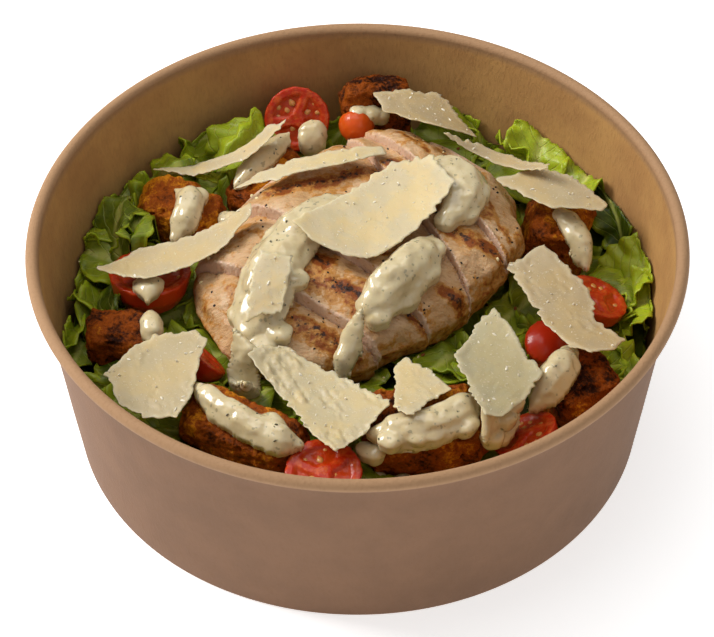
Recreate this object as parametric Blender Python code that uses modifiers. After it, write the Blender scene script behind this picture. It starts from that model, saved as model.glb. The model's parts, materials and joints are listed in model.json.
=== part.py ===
"""A chicken caesar salad in a round kraft paper bowl.

The origin is the centre of the bowl's foot, on the table. +Z is up, +X is to the diner's right
and +Y points away from the diner. Sizes in the tables below are millimetres.
"""

import math

import bmesh
import bpy
import numpy as np
from mathutils import Matrix, Vector, noise
from mathutils.bvhtree import BVHTree

MM = 0.001
GAP = 0.35  # clearance between two pieces that touch

# Bowl: a conical wall of kraft board with a rolled rim, and a base disc set up inside its foot.
RIM_RADIUS = 92.0
BOWL_HEIGHT = 66.0
FOOT_RADIUS = 79.4
BEAD_RADIUS = 1.8
BOARD = 0.6
BASE_TOP = 6.2
FOLD_HEIGHT = 4.8
ROUND_STEPS = 56
BEAD_STEP = 45  # degrees between the points of the rolled rim

# Salad leaves: one heap that fills the bowl up to a rough, uneven level.
LEAF_LEVEL = 32.0
LEAF_ROUGHNESS = 4.0
LEAF_WAVE = 11.0
# Tufts of leaves that stand up against the wall: x and y of the middle, how wide, and how high.
LEAF_TUFTS = [
    (-36, 63, 15, 11),
    (-62, 46, 14, 6),
    (-78, 18, 14, 5),
    (44, 60, 14, 11),
    (68, 42, 12, 6),
    (77, 16, 13, 7),
    (70, -24, 12, 5),
    (-58, -44, 12, 5),
]
HEAP_STEPS = 54
HEAP_RINGS = 15

# Chicken breast: one plump fillet cut across into slices that have slid up over each other.
BREAST_CENTRE = (-1.0, 17.0, 41.0)
BREAST_SIZE = (98.0, 74.0, 28.0)
BREAST_YAW = 38.0
BREAST_ROUNDNESS = 2.5
BREAST_TAPER = 0.22  # how much narrower the front left end is than the back right
BREAST_LUMPS = (2.2, 16.0)  # how far its surface goes in and out, and over what distance
# Each cut through the fillet: x and y of its middle, and the direction that it runs in.
BREAST_CUTS = [(-11, -10, -33), (0, 4, -41), (20, 17, -61), (33, 20, -53)]
SLICE_LIFTS = [-3.5, -1.0, 1.0, 2.5, 4.0]  # how far each slice is raised, front left to back right

SHAVING_THICKNESS = 1.3
SHAVING_CELL = 9.0  # spacing of the creases that let a shaving bend
SHAVING_DROOP = 9.0  # how far a stiff shaving follows the dips below it

CROUTON_ROUNDNESS = 4.5
CROUTON_LUMPS = (2.4, 8.0)
CROUTONS = {
    # name: (x, y, z), (length, width, height), (roll, pitch, yaw)
    "crouton_back": ((6.5, 76, 47), (21, 13, 17), (-12, 0, 4)),
    "crouton_back_left": ((-27.5, 53, 37), (26, 13, 14), (0, -8, 56)),
    "crouton_left_back": ((-51, 39, 38), (25, 17, 16), (10, 6, -22)),
    "crouton_left_front": ((-66, -9, 36), (22, 14, 15), (8, -6, -10)),
    "crouton_front_left": ((-31.5, -47.5, 38), (36, 17, 16), (12, 4, -28)),
    "crouton_front": ((18, -48, 40), (34, 24, 16), (8, -4, 4)),
    "crouton_right_front": ((60, -30, 38), (22, 20, 17), (12, 0, 34)),
    "crouton_right_back": ((58, 31, 38), (19, 24, 17), (0, 8, -12)),
}

TOMATO_STRETCH = 1.08  # a cherry tomato is slightly longer than it is wide
TOMATOES = {
    # name: (x, y, z) of the cut face's middle, radius, (azimuth, elevation) that the cut face looks to
    "tomato_back_left": ((-17.5, 71, 46), 10.0, (-84, 34)),
    "tomato_back": ((0, 68, 47), 5.6, (85, 5)),
    "tomato_left": ((-59, 12, 42), 12.0, (90, 80)),
    "tomato_front_left": ((-42, -19, 39), 7.2, (30, 40)),
    "tomato_front": ((-9.5, -65, 42), 10.8, (-90, 78)),
    "tomato_front_right": ((45, -50, 41), 9.6, (150, 62)),
    "tomato_right": ((68, 5, 38), 9.6, (20, 66)),
    "tomato_right_low": ((54, -10, 35), 7.5, (-60, 70)),
}

DRESSING_STEP = 6.0  # spacing of a trail's cross sections
DRESSING_SECTION = (-1, -0.55, 0, 0.55, 1)  # where each section has points, in half widths from its middle
DRESSING_REACH = 3.6  # how far round each point of a trail it looks for what lies below
DRESSING = {
    # name: thickness, then x, y and half width at each point of the trail
    "dressing_left_trail": (
        4.5, [(-3, 25, 5.5), (-11, 20, 7.5), (-18, 12, 8.5), (-24, 2, 8.5), (-26, -9, 9.5), (-31, -17, 7)]
    ),
    "dressing_right_blob": (6.0, [(20, 8, 5), (16, -1, 7.5), (9, -8, 6.5), (3, -13, 6)]),
    "dressing_back_blob": (5.0, [(18, 34, 6), (27, 34, 9), (31, 29, 9), (30, 22, 7), (25, 15, 4)]),
    "dressing_teardrop": (3.0, [(0, -19, 3.6), (-3, -24, 2.8), (-6, -29, 1.6)]),
    "dressing_left_back": (4.0, [(-51, 39, 4), (-46, 36, 4.5), (-49, 31, 4.2), (-52, 24, 4)]),
    "dressing_back_left": (3.5, [(-21, 63, 3.5), (-26, 57, 4.2), (-31, 51, 4), (-35, 46, 2.5)]),
    "dressing_front_left": (4.5, [(-45, -38, 3), (-39, -46, 4), (-31, -52, 4.5), (-23, -57, 5), (-17, -58, 4)]),
    "dressing_front": (5.5, [(5, -56, 4.5), (11, -57, 6), (19, -56, 6), (27, -52, 6), (32, -46, 4.5)]),
    "dressing_right_front": (6.0, [(59, -27, 4), (56, -33, 5.5), (52, -39, 5.5), (48, -43, 4)]),
    "dressing_front_right": (3.0, [(42, -44, 4.4), (38, -51, 4.6), (35, -57, 4)]),
    "dressing_right_back": (3.5, [(58, 30, 3.2), (61, 24, 4), (64, 18, 4), (65, 14, 3)]),
    "dressing_left_front": (3.0, [(-58, -9, 3.2), (-57, -17, 3.4)]),
    "dressing_left_drip": (3.0, [(-59, 6, 5), (-59, 0, 3.6)]),
    "dressing_front_drip": (4.0, [(-33, -22, 4), (-31, -28, 4.6), (-31, -33, 4)]),
}

# A dollop that clings to the cut face of the tomato at the back left.
DOLLOP_PLACE = (-13, 66, 43.6)
DOLLOP_SIZE = (10.5, 9.5, 5.0)
DOLLOP_FACES = (-84, 34)  # azimuth and elevation that it bulges to

SHAVINGS = {
    # name: outline in plan, x and y, counter-clockwise seen from above
    "shaving_left": [(-73, 6), (-67, 3), (-58, 2), (-50, 4), (-40, 9), (-30, 20), (-30, 25), (-40, 21), (-53, 19), (-62, 17)],
    "shaving_left_front": [
        (-69, -34), (-65, -45), (-56, -51), (-49, -52), (-45, -45), (-44, -37), (-41, -23), (-45, -19), (-57, -19),
        (-63, -25)
    ],
    "shaving_trail": [(-31, -18), (-21, -16), (-18, -2), (-27, 0), (-29, -8)],
    "shaving_front_left": [
        (-31, -27), (-26, -34), (-19, -44), (-13, -56), (-6, -66), (1, -59), (9, -48), (2, -41), (-4, -35), (-13, -28),
        (-20, -22), (-27, -23)
    ],
    "shaving_front": [(10, -33), (10, -54), (14, -57), (18, -52), (25, -45), (20, -36), (13, -28)],
    "shaving_front_right": [
        (26, -35), (30, -48), (34, -59), (38, -58), (45, -49), (50, -39), (46, -32), (42, -21), (38, -14), (34, -17)
    ],
    "shaving_right": [
        (43, 7), (45, -1), (49, -11), (53, -22), (58, -29), (64, -32), (70, -30), (73, -24), (66, -16), (65, -3),
        (59, 5), (53, 14)
    ],
    "shaving_right_back": [(40, 36), (47, 28), (55, 22), (69, 23), (71, 26), (62, 38), (54, 41), (47, 39)],
    "shaving_far_right": [(25, 47), (33, 45), (42, 41), (53, 35), (55, 37), (46, 44), (36, 49)],
    "shaving_back_right": [(5, 71), (8, 60), (14, 56), (23, 53), (34, 53), (31, 61), (25, 74), (14, 73)],
    "shaving_centre": [
        (-19, 10), (-14, 5), (-3, 0), (6, 1), (16, 8), (21, 14), (28, 23), (22, 35), (10, 35), (-5, 22)
    ],
    "shaving_back_left": [(-35, 36), (-22, 34), (-5, 37), (8, 43), (7, 46), (-8, 44), (-22, 41)],
    "shaving_far_left": [(-59, 50), (-47, 47), (-34, 49), (-27, 52), (-21, 59), (-25, 60), (-34, 55), (-46, 53)],
}

COLOURS = {
    # name: base colour, roughness
    "kraft_board": ((0.42, 0.28, 0.17), 0.75),
    "salad_leaf": ((0.12, 0.28, 0.03), 0.45),
    "chicken": ((0.72, 0.50, 0.34), 0.5),
    "crouton": ((0.33, 0.12, 0.03), 0.7),
    "tomato": ((0.55, 0.05, 0.02), 0.25),
    "dressing": ((0.78, 0.70, 0.48), 0.3),
    "parmesan": ((0.80, 0.70, 0.45), 0.45),
}


def clear_scene():
    for obj in list(bpy.data.objects):
        bpy.data.objects.remove(obj)


def make_material(name):
    colour, roughness = COLOURS[name]
    material = bpy.data.materials.new(name)
    material.use_nodes = True
    shader = material.node_tree.nodes["Principled BSDF"]
    shader.inputs["Base Color"].default_value = (*colour, 1.0)
    shader.inputs["Roughness"].default_value = roughness
    return material


def add_object(name, bm, material, location=(0, 0, 0), rotation=(0, 0, 0)):
    """An object of the salad from a bmesh, which is in millimetres about the object's own origin."""
    bmesh.ops.scale(bm, vec=(MM, MM, MM), verts=bm.verts)
    mesh = bpy.data.meshes.new(name)
    bm.to_mesh(mesh)
    bm.free()
    mesh.materials.append(material)
    mesh.shade_smooth()
    mesh.set_sharp_from_angle(angle=math.radians(50))
    obj = bpy.data.objects.new(name, mesh)
    obj.location = [c * MM for c in location]
    obj.rotation_euler = [math.radians(angle) for angle in rotation]
    bpy.data.collections["chicken_caesar_salad"].objects.link(obj)
    return obj


def bowl_outside(z):
    """Radius of the wall's outer face at height z."""
    top = RIM_RADIUS - 2 * BEAD_RADIUS + BOARD
    return FOOT_RADIUS + (top - FOOT_RADIUS) * z / (BOWL_HEIGHT - BEAD_RADIUS)


def layer(z, boards, gaps):
    """Radius at height z, that many boards and gaps in from the wall's outer face."""
    return bowl_outside(z) - boards * BOARD - gaps * GAP


def turned(name, profile, material):
    """A solid turned round Z from a profile of (radius, height), which runs down its outer side."""
    bm = bmesh.new()
    points = [bm.verts.new((radius, 0, height)) for radius, height in profile]
    for first, second in zip(points, points[1:]):
        bm.edges.new((first, second))
    if profile[0][0] > 0:
        bm.edges.new((points[-1], points[0]))
    obj = add_object(name, bm, material)
    screw = obj.modifiers.new("turn", "SCREW")
    screw.steps = screw.render_steps = ROUND_STEPS
    screw.use_merge_vertices = True
    screw.merge_threshold = 0.02 * MM
    screw.use_smooth_shade = True
    return obj


def bowl_wall(material):
    """The wall, its rolled rim, and the fold at its foot that holds the base's skirt."""
    bead_r = RIM_RADIUS - BEAD_RADIUS
    bead_z = BOWL_HEIGHT - BEAD_RADIUS
    bead = [math.radians(angle) for angle in range(180, -130, -BEAD_STEP)]
    profile = [(bead_r + BEAD_RADIUS * math.cos(a), bead_z + BEAD_RADIUS * math.sin(a)) for a in bead]
    under_bead = bead_z - 0.75 * BEAD_RADIUS
    profile += [
        (bowl_outside(under_bead), under_bead),
        (bowl_outside(0), 0),
        (layer(0, 3, 2), 0),
        (layer(FOLD_HEIGHT, 3, 2), FOLD_HEIGHT),
        (layer(FOLD_HEIGHT, 2, 2), FOLD_HEIGHT),
        (layer(BOARD, 2, 2), BOARD),
        (layer(BOARD, 1, 0), BOARD),
    ]
    return turned("bowl_wall", profile, material)


def bowl_base(material):
    """The base disc, with its edge turned down as a skirt between the wall and the fold."""
    foot, under = BOARD + GAP, BASE_TOP - BOARD
    profile = [
        (0, BASE_TOP),
        (layer(BASE_TOP, 1, 1), BASE_TOP),
        (layer(foot, 1, 1), foot),
        (layer(foot, 2, 1), foot),
        (layer(under, 2, 1), under),
        (0, under),
    ]
    return turned("bowl_base", profile, material)


def grid_box(cells):
    """A cube from -1 to 1 whose faces are divided into that many cells along X, Y and Z."""
    bm = bmesh.new()
    bmesh.ops.create_cube(bm, size=2.0)
    for axis, count in enumerate(cells):
        along = [e for e in bm.edges if abs((e.verts[0].co - e.verts[1].co)[axis]) > 1e-6]
        bmesh.ops.subdivide_edges(bm, edges=along, cuts=count - 1, use_grid_fill=True)
    return bm


def round_off(bm, size, roundness):
    """Turns a grid box into a rounded block of that size: 2 is an ellipsoid, and 8 is nearly a box."""
    for vert in bm.verts:
        reach = sum(abs(c) ** roundness for c in vert.co) ** (1 / roundness)
        largest = max(abs(c) for c in vert.co)
        vert.co = Vector([c * largest / reach * side / 2 for c, side in zip(vert.co, size)])


def roughen(bm, amount, wave, seed):
    """Pushes each point out or in by up to that amount, in lumps about one wave across."""
    bm.normal_update()
    for vert in bm.verts:
        vert.co += vert.normal * amount * noise.noise(vert.co / wave + Vector((seed, 0, 0)))


def breast():
    """The whole fillet in the bowl's millimetres: plump, and narrower at its front left end."""
    bm = grid_box((13, 9, 4))
    round_off(bm, BREAST_SIZE, BREAST_ROUNDNESS)
    for vert in bm.verts:
        end = vert.co.x / BREAST_SIZE[0]  # -0.5 at the front left tip
        vert.co.y *= 1 + BREAST_TAPER * end
        vert.co.z *= 1 + BREAST_TAPER * end / 2
    roughen(bm, *BREAST_LUMPS, seed=7)
    place = Matrix.Translation(BREAST_CENTRE) @ Matrix.Rotation(math.radians(BREAST_YAW), 4, "Z")
    bmesh.ops.transform(bm, matrix=place, verts=bm.verts)
    return bm


def cut_away(bm, point, normal):
    """Removes what lies on the normal's side of an upright plane, and closes the cut."""
    everything = bm.verts[:] + bm.edges[:] + bm.faces[:]
    bmesh.ops.bisect_plane(bm, geom=everything, dist=1e-4, plane_co=point, plane_no=normal, clear_outer=True)
    bmesh.ops.holes_fill(bm, edges=[e for e in bm.edges if e.is_boundary])


def chicken_slices(material):
    """The fillet's slices, each from one cut to the next, slid up its cut so that its raw side shows."""
    slices = []
    for index, lift in enumerate(SLICE_LIFTS):
        bm = breast()
        for cut, side in ((index - 1, -1), (index, 1)):
            if not 0 <= cut < len(BREAST_CUTS):
                continue
            x, y, direction = BREAST_CUTS[cut]
            across = Vector((-math.sin(math.radians(direction)), math.cos(math.radians(direction)), 0))
            cut_away(bm, Vector((x, y, 0)) - across * side * GAP / 2, across * side)
        centre = sum((v.co for v in bm.verts), Vector()) / len(bm.verts)
        bmesh.ops.translate(bm, vec=-centre, verts=bm.verts)
        bmesh.ops.triangulate(bm, faces=[f for f in bm.faces if len(f.verts) > 4])
        slices.append(add_object(f"chicken_slice_{index + 1}", bm, material, centre + Vector((0, 0, lift))))
    return slices


def croutons(material):
    """Torn and fried cubes of bread: boxy, with rounded corners and uneven sides."""
    made = []
    for seed, (name, (place, size, turn)) in enumerate(CROUTONS.items()):
        bm = grid_box((4, 4, 3))
        round_off(bm, size, CROUTON_ROUNDNESS)
        roughen(bm, *CROUTON_LUMPS, seed)
        made.append(add_object(name, bm, material, place, turn))
    return made


def tomatoes(material):
    """Halved cherry tomatoes: a slightly long half ball behind a flat cut face."""
    made = []
    for name, (place, radius, (azimuth, elevation)) in TOMATOES.items():
        bm = bmesh.new()
        bmesh.ops.create_uvsphere(bm, u_segments=16, v_segments=8, radius=radius)
        cut_away(bm, Vector((0, 0, 0)), Vector((0, 0, 1)))
        bmesh.ops.scale(bm, vec=(1, 1, TOMATO_STRETCH), verts=bm.verts)
        obj = add_object(name, bm, material, place, (0, 90 - elevation, azimuth))
        made.append(obj)
    return made


def dollop(material):
    """A rounded blob of dressing, flattened against the face that it clings to."""
    bm = grid_box((4, 4, 2))
    round_off(bm, DOLLOP_SIZE, 2.2)
    azimuth, elevation = DOLLOP_FACES
    return add_object("dressing_on_tomato", bm, material, DOLLOP_PLACE, (0, 90 - elevation, azimuth))


def tree_of(obj):
    """The solid's surface in the bowl's millimetres, to lay other pieces on."""
    graph = bpy.context.evaluated_depsgraph_get()
    evaluated = obj.evaluated_get(graph)
    mesh = evaluated.to_mesh()
    points = [evaluated.matrix_world @ v.co / MM for v in mesh.vertices]
    faces = [tuple(p.vertices) for p in mesh.polygons]
    evaluated.to_mesh_clear()
    return BVHTree.FromPolygons(points, faces)


def leaf_level(x, y):
    """Height of the heap of leaves before the toppings press into it."""
    level = LEAF_LEVEL + LEAF_ROUGHNESS * noise.noise(Vector((x, y, 0)) / LEAF_WAVE)
    for middle_x, middle_y, width, height in LEAF_TUFTS:
        away = math.hypot(x - middle_x, y - middle_y) / width
        level += height * math.exp(-2 * away**2)
    return level


def height_at(x, y, trees):
    """Top of whatever lies at (x, y)."""
    hits = [tree.ray_cast(Vector((x, y, 200)), Vector((0, 0, -1)))[0] for tree in trees]
    return max([hit.z for hit in hits if hit is not None] + [leaf_level(x, y)])


def highest_near(x, y, reach, trees):
    """The highest top within reach of (x, y), so that flat facets laid over it stay clear."""
    steps = (-reach, 0, reach)
    return max(height_at(x + dx, y + dy, trees) for dx in steps for dy in steps)


def smooth_route(points, count):
    """Evenly spaced samples of a smooth line through the points of a trail."""
    stops = np.arange(len(points))
    places = np.linspace(0, len(points) - 1, count)
    values = np.array(points, float)
    sampled = np.stack([np.interp(places, stops, column) for column in values.T], axis=1)
    for _ in range(2):
        sampled[1:-1] = (sampled[:-2] + 2 * sampled[1:-1] + sampled[2:]) / 4
    return sampled


def dressing_trail(name, thickness, route, trees, material):
    """A thick pour of dressing that follows what lies under it, round in section with rounded ends."""
    length = sum(math.dist(a[:2], b[:2]) for a, b in zip(route, route[1:]))
    rows = max(5, round(length / DRESSING_STEP) + 3)
    line = smooth_route(route, rows)
    along = np.gradient(line[:, :2], axis=0)
    along /= np.linalg.norm(along, axis=1, keepdims=True)
    line[0, :2] -= along[0] * line[0, 2] * 0.8
    line[-1, :2] += along[-1] * line[-1, 2] * 0.8
    centre = Vector((*line[:, :2].mean(axis=0), 0))
    bm = bmesh.new()
    under, over = [], []
    for row, ((x, y, half), (dx, dy)) in enumerate(zip(line, along)):
        end = row in (0, rows - 1)
        sides = (0,) if end else DRESSING_SECTION
        low, high = [], []
        for t in sides:
            px, py = x - dy * half * t, y + dx * half * t
            floor = highest_near(px, py, DRESSING_REACH, trees) + GAP
            swell = thickness * math.sqrt(1 - t * t) * (0.75 + 0.25 * math.sin(math.pi * row / (rows - 1)))
            low.append(bm.verts.new(Vector((px, py, floor)) - centre))
            edge = end or abs(t) == 1
            high.append(low[-1] if edge else bm.verts.new(Vector((px, py, floor + swell)) - centre))
        under.append(low)
        over.append(high)
    for skin, turn in ((over, 1), (under, -1)):
        for first, second in zip(skin, skin[1:]):
            for k in range(len(DRESSING_SECTION) - 1):
                a, b = first[min(k, len(first) - 1)], first[min(k + 1, len(first) - 1)]
                c, d = second[min(k + 1, len(second) - 1)], second[min(k, len(second) - 1)]
                corners = list(dict.fromkeys((a, d, c, b)[::turn]))
                bm.faces.new(corners)
    bmesh.ops.triangulate(bm, faces=bm.faces)
    bmesh.ops.recalc_face_normals(bm, faces=bm.faces)
    return add_object(name, bm, material, centre)


def bending_surface(points, heights):
    """The gently curved surface, as six terms of x and y, that comes nearest to those heights."""
    x, y = points[:, 0], points[:, 1]
    terms = np.stack([np.ones_like(x), x, y, x * x, x * y, y * y], axis=1)
    stiffness = np.diag([0, 0, 0, 900.0, 900.0, 900.0]) * len(points)
    return np.linalg.solve(terms.T @ terms + stiffness, terms.T @ heights)


def surface_at(terms, x, y):
    return float(np.dot(terms, (1, x, y, x * x, x * y, y * y)))


def shaving(name, outline, trees, material):
    """A curved shaving of hard cheese, laid on the high points below it."""
    centre = Vector((*np.mean(outline, axis=0), 0))
    bm = bmesh.new()
    bm.faces.new([bm.verts.new(Vector((x, y, 0)) - centre) for x, y in outline])
    for axis in (Vector((1, 0, 0)), Vector((0, 1, 0))):
        reach = max(abs(v.co @ axis) for v in bm.verts)
        for crease in np.arange(-SHAVING_CELL * (reach // SHAVING_CELL), reach, SHAVING_CELL):
            geometry = bm.verts[:] + bm.edges[:] + bm.faces[:]
            bmesh.ops.bisect_plane(bm, geom=geometry, dist=0.4, plane_co=axis * crease, plane_no=axis)
    flat = np.array([v.co for v in bm.verts])
    faces = BVHTree.FromBMesh(bm)
    steps = [np.arange(flat[:, k].min(), flat[:, k].max(), 1.5) for k in (0, 1)]
    inside = [(x, y) for x in steps[0] for y in steps[1] if faces.find_nearest(Vector((x, y, 0)))[3] < 0.8]
    inside = np.array(inside)
    heights = np.array([height_at(x + centre.x, y + centre.y, trees) for x, y in inside])
    pressed = np.maximum(heights, heights.max() - SHAVING_DROOP)
    terms = bending_surface(inside, pressed)
    bent = np.array([surface_at(terms, x, y) for x, y in inside])
    rise = (heights - bent).max() + 2.5 * GAP
    for vert in bm.verts:
        vert.co.z = surface_at(terms, vert.co.x, vert.co.y) + rise
    bmesh.ops.triangulate(bm, faces=bm.faces)
    bmesh.ops.recalc_face_normals(bm, faces=bm.faces)
    if sum(f.normal.z for f in bm.faces) < 0:
        bmesh.ops.reverse_faces(bm, faces=bm.faces)
    middle = sum(v.co.z for v in bm.verts) / len(bm.verts)
    bmesh.ops.translate(bm, vec=(0, 0, -middle), verts=bm.verts)
    obj = add_object(name, bm, material, (centre.x, centre.y, middle))
    shell = obj.modifiers.new("thickness", "SOLIDIFY")
    shell.thickness = SHAVING_THICKNESS * MM
    shell.offset = 1.0
    return obj


def lowest_above(x, y, trees):
    """The underside of whatever lies over (x, y), or a height above the whole bowl."""
    hits = [tree.ray_cast(Vector((x, y, BASE_TOP)), Vector((0, 0, 1)))[0] for tree in trees]
    return min([hit.z for hit in hits if hit is not None] + [2 * BOWL_HEIGHT])


def leaf_heap(trees, material):
    """The salad leaves as one solid: it fills the bowl, and its top is pressed down under each topping."""
    rim = layer(LEAF_LEVEL, 1, 1)
    ring_gap = rim / HEAP_RINGS
    angles = [2 * math.pi * k / HEAP_STEPS for k in range(HEAP_STEPS)]
    probes = [(0, 0)]
    for share in (0.45, 0.85):
        reach = share * ring_gap
        probes += [(reach * math.cos(a), reach * math.sin(a)) for a in angles[:: HEAP_STEPS // 12]]

    def pressed(x, y):
        over = min(lowest_above(x + dx, y + dy, trees) for dx, dy in probes)
        return min(leaf_level(x, y), over - GAP)

    bm = bmesh.new()
    top = [[bm.verts.new((0, 0, pressed(0, 0)))]]
    for ring in range(1, HEAP_RINGS + 1):
        radius = rim * ring / HEAP_RINGS
        row = []
        for angle in angles:
            x, y = radius * math.cos(angle), radius * math.sin(angle)
            z = pressed(x, y)
            shrink = min(1.0, layer(z, 1, 1) / radius)
            row.append(bm.verts.new((x * shrink, y * shrink, z)))
        top.append(row)
    floor = BASE_TOP + GAP
    foot = [bm.verts.new((layer(floor, 1, 1) * math.cos(a), layer(floor, 1, 1) * math.sin(a), floor)) for a in angles]
    rows = top[1:] + [foot]
    for inner, outer in zip(rows, rows[1:]):
        for k in range(HEAP_STEPS):
            after = (k + 1) % HEAP_STEPS
            bm.faces.new((inner[k], outer[k], outer[after], inner[after]))
    for k in range(HEAP_STEPS):
        bm.faces.new((top[0][0], top[1][k], top[1][(k + 1) % HEAP_STEPS]))
    bm.faces.new(foot[::-1])
    bmesh.ops.triangulate(bm, faces=bm.faces)
    return add_object("salad_leaves", bm, material)


def main():
    clear_scene()
    salad = bpy.data.collections.new("chicken_caesar_salad")
    bpy.context.scene.collection.children.link(salad)
    materials = {name: make_material(name) for name in COLOURS}
    bowl_wall(materials["kraft_board"])
    bowl_base(materials["kraft_board"])
    pieces = chicken_slices(materials["chicken"])
    pieces += croutons(materials["crouton"])
    pieces += tomatoes(materials["tomato"])
    pieces.append(dollop(materials["dressing"]))
    bpy.context.view_layer.update()
    trees = [tree_of(piece) for piece in pieces]
    for name, (thickness, route) in DRESSING.items():
        poured = dressing_trail(name, thickness, route, trees, materials["dressing"])
        bpy.context.view_layer.update()
        trees.append(tree_of(poured))
    for name, outline in SHAVINGS.items():
        laid = shaving(name, outline, trees, materials["parmesan"])
        bpy.context.view_layer.update()
        trees.append(tree_of(laid))
    leaf_heap(trees, materials["salad_leaf"])


main()
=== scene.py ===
"""A chicken caesar salad in a kraft paper bowl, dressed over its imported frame.

Laid out as an add-on: one property group for each kind of food, one operator for each kind of piece,
and a panel in the 3D view's sidebar. Run as a script, it registers them and calls them in order.
Meshes are in metres. The tables and the shaping functions below work in millimetres.
"""

import itertools
import json
import math

import bmesh
import bpy
import numpy as np
from bpy.props import FloatProperty, FloatVectorProperty, IntProperty, PointerProperty
from mathutils import Matrix, Vector, geometry
from mathutils.bvhtree import BVHTree

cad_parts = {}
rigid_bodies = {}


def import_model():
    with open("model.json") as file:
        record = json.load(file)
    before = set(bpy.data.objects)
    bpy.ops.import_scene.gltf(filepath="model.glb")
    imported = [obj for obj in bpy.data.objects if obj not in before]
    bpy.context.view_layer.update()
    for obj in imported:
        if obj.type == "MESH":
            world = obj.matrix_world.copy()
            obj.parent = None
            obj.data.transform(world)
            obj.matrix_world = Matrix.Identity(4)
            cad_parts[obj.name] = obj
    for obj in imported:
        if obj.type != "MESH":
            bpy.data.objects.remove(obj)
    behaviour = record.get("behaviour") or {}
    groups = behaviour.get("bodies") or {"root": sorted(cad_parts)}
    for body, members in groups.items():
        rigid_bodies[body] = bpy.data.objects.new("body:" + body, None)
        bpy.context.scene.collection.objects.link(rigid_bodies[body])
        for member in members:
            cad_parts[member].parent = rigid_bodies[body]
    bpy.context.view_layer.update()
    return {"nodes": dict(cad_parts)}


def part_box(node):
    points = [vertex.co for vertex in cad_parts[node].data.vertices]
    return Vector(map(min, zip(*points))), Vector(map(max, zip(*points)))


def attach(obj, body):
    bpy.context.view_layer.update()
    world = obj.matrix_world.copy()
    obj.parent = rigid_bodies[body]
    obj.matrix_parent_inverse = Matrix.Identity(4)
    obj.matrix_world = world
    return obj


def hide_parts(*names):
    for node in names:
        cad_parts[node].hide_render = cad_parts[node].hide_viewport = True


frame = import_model()

bl_info = {
    "name": "Chicken caesar salad",
    "version": (1, 0, 0),
    "blender": (4, 5, 0),
    "location": "3D View > Sidebar > Salad",
    "description": "Builds a chicken caesar salad in its kraft paper bowl",
    "category": "Object",
}

MM = 0.001
BODY = "root"
LEAF_NODE = "salad_leaves"


def nodes_named(start):
    """The frame's nodes whose names start with these words, in order."""
    return sorted(name for name in frame["nodes"] if name.startswith(start))


# ---------------------------------------------------------------------------------------------
# Colour, noise and mesh helpers
# ---------------------------------------------------------------------------------------------


def linear(code):
    """An sRGB hex colour as linear red, green and blue."""
    channels = [int(code[k : k + 2], 16) / 255 for k in (1, 3, 5)]
    return [c / 12.92 if c <= 0.04045 else ((c + 0.055) / 1.055) ** 2.4 for c in channels]


def lumps(points, wave, seed=0):
    """Smooth noise from about -1 to 1 at each point, with lumps one wave across."""
    scaled = np.asarray(points, float) / wave + 131.7 * (seed + 1)
    cell = np.floor(scaled).astype(np.int64)
    part = scaled - cell
    fade = part**3 * (part * (part * 6 - 15) + 10)
    total = np.zeros(len(scaled))
    for corner in itertools.product((0, 1), repeat=3):
        at = cell + corner
        key = (at[:, 0] * 73856093) ^ (at[:, 1] * 19349663) ^ (at[:, 2] * 83492791)
        key = (key ^ (key >> 15)) * 2246822519 & 0xFFFFFFFF
        key = (key ^ (key >> 13)) * 3266489917 & 0xFFFFFFFF
        key ^= key >> 16
        slopes = np.stack([key & 1023, key >> 10 & 1023, key >> 20 & 1023], axis=1) / 511.5 - 1
        weight = np.prod(np.where(corner, fade, 1 - fade), axis=1)
        total += weight * np.sum(slopes * (part - corner), axis=1)
    return total * 1.5


def ramp(value, low, high):
    """0 below low and 1 above high, with a smooth step between."""
    share = np.clip((value - low) / (high - low), 0, 1)
    return share * share * (3 - 2 * share)


def points_of(mesh):
    """The mesh's points, in millimetres."""
    flat = np.empty(len(mesh.vertices) * 3, np.float32)
    mesh.vertices.foreach_get("co", flat)
    return flat.reshape(-1, 3).astype(float) / MM


def normals_of(mesh):
    flat = np.empty(len(mesh.vertices) * 3, np.float32)
    mesh.vertex_normals.foreach_get("vector", flat)
    return flat.reshape(-1, 3).astype(float)


def place_points(mesh, points):
    mesh.vertices.foreach_set("co", (points * MM).astype(np.float32).ravel())
    mesh.update()


def paint(mesh, name, values):
    """Stores one number for each point, which the mesh's material reads by that name."""
    layer = mesh.attributes.new(name, "FLOAT", "POINT")
    layer.data.foreach_set("value", np.asarray(values, np.float32))


def new_mesh(name, points, faces):
    mesh = bpy.data.meshes.new(name)
    mesh.from_pydata((np.asarray(points) * MM).tolist(), [], [tuple(int(k) for k in f) for f in faces])
    mesh.update()
    return mesh


def new_object(name, mesh):
    obj = bpy.data.objects.new(name, mesh)
    bpy.context.scene.collection.objects.link(obj)
    return obj


def applied(obj, name):
    """The object's mesh with its modifiers applied. The object itself is removed."""
    graph = bpy.context.evaluated_depsgraph_get()
    mesh = bpy.data.meshes.new_from_object(obj.evaluated_get(graph))
    mesh.name = name
    bpy.data.objects.remove(obj)
    return mesh


def frame_solid(name):
    """A copy of a frame node's surface as one bmesh, in millimetres, with its doubles merged."""
    bm = bmesh.new()
    bm.from_mesh(frame["nodes"][name].data)
    bmesh.ops.scale(bm, vec=(1 / MM,) * 3, verts=bm.verts)
    bmesh.ops.remove_doubles(bm, verts=bm.verts, dist=0.002)
    bm.normal_update()
    return bm


def frame_tree(names):
    """Those frame nodes' surfaces together, to cast rays at, in millimetres."""
    points, faces = [], []
    for name in names:
        bm = frame_solid(name)
        faces += [tuple(v.index + len(points) for v in f.verts) for f in bm.faces]
        points += [v.co.copy() for v in bm.verts]
        bm.free()
    return BVHTree.FromPolygons(points, faces)


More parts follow.
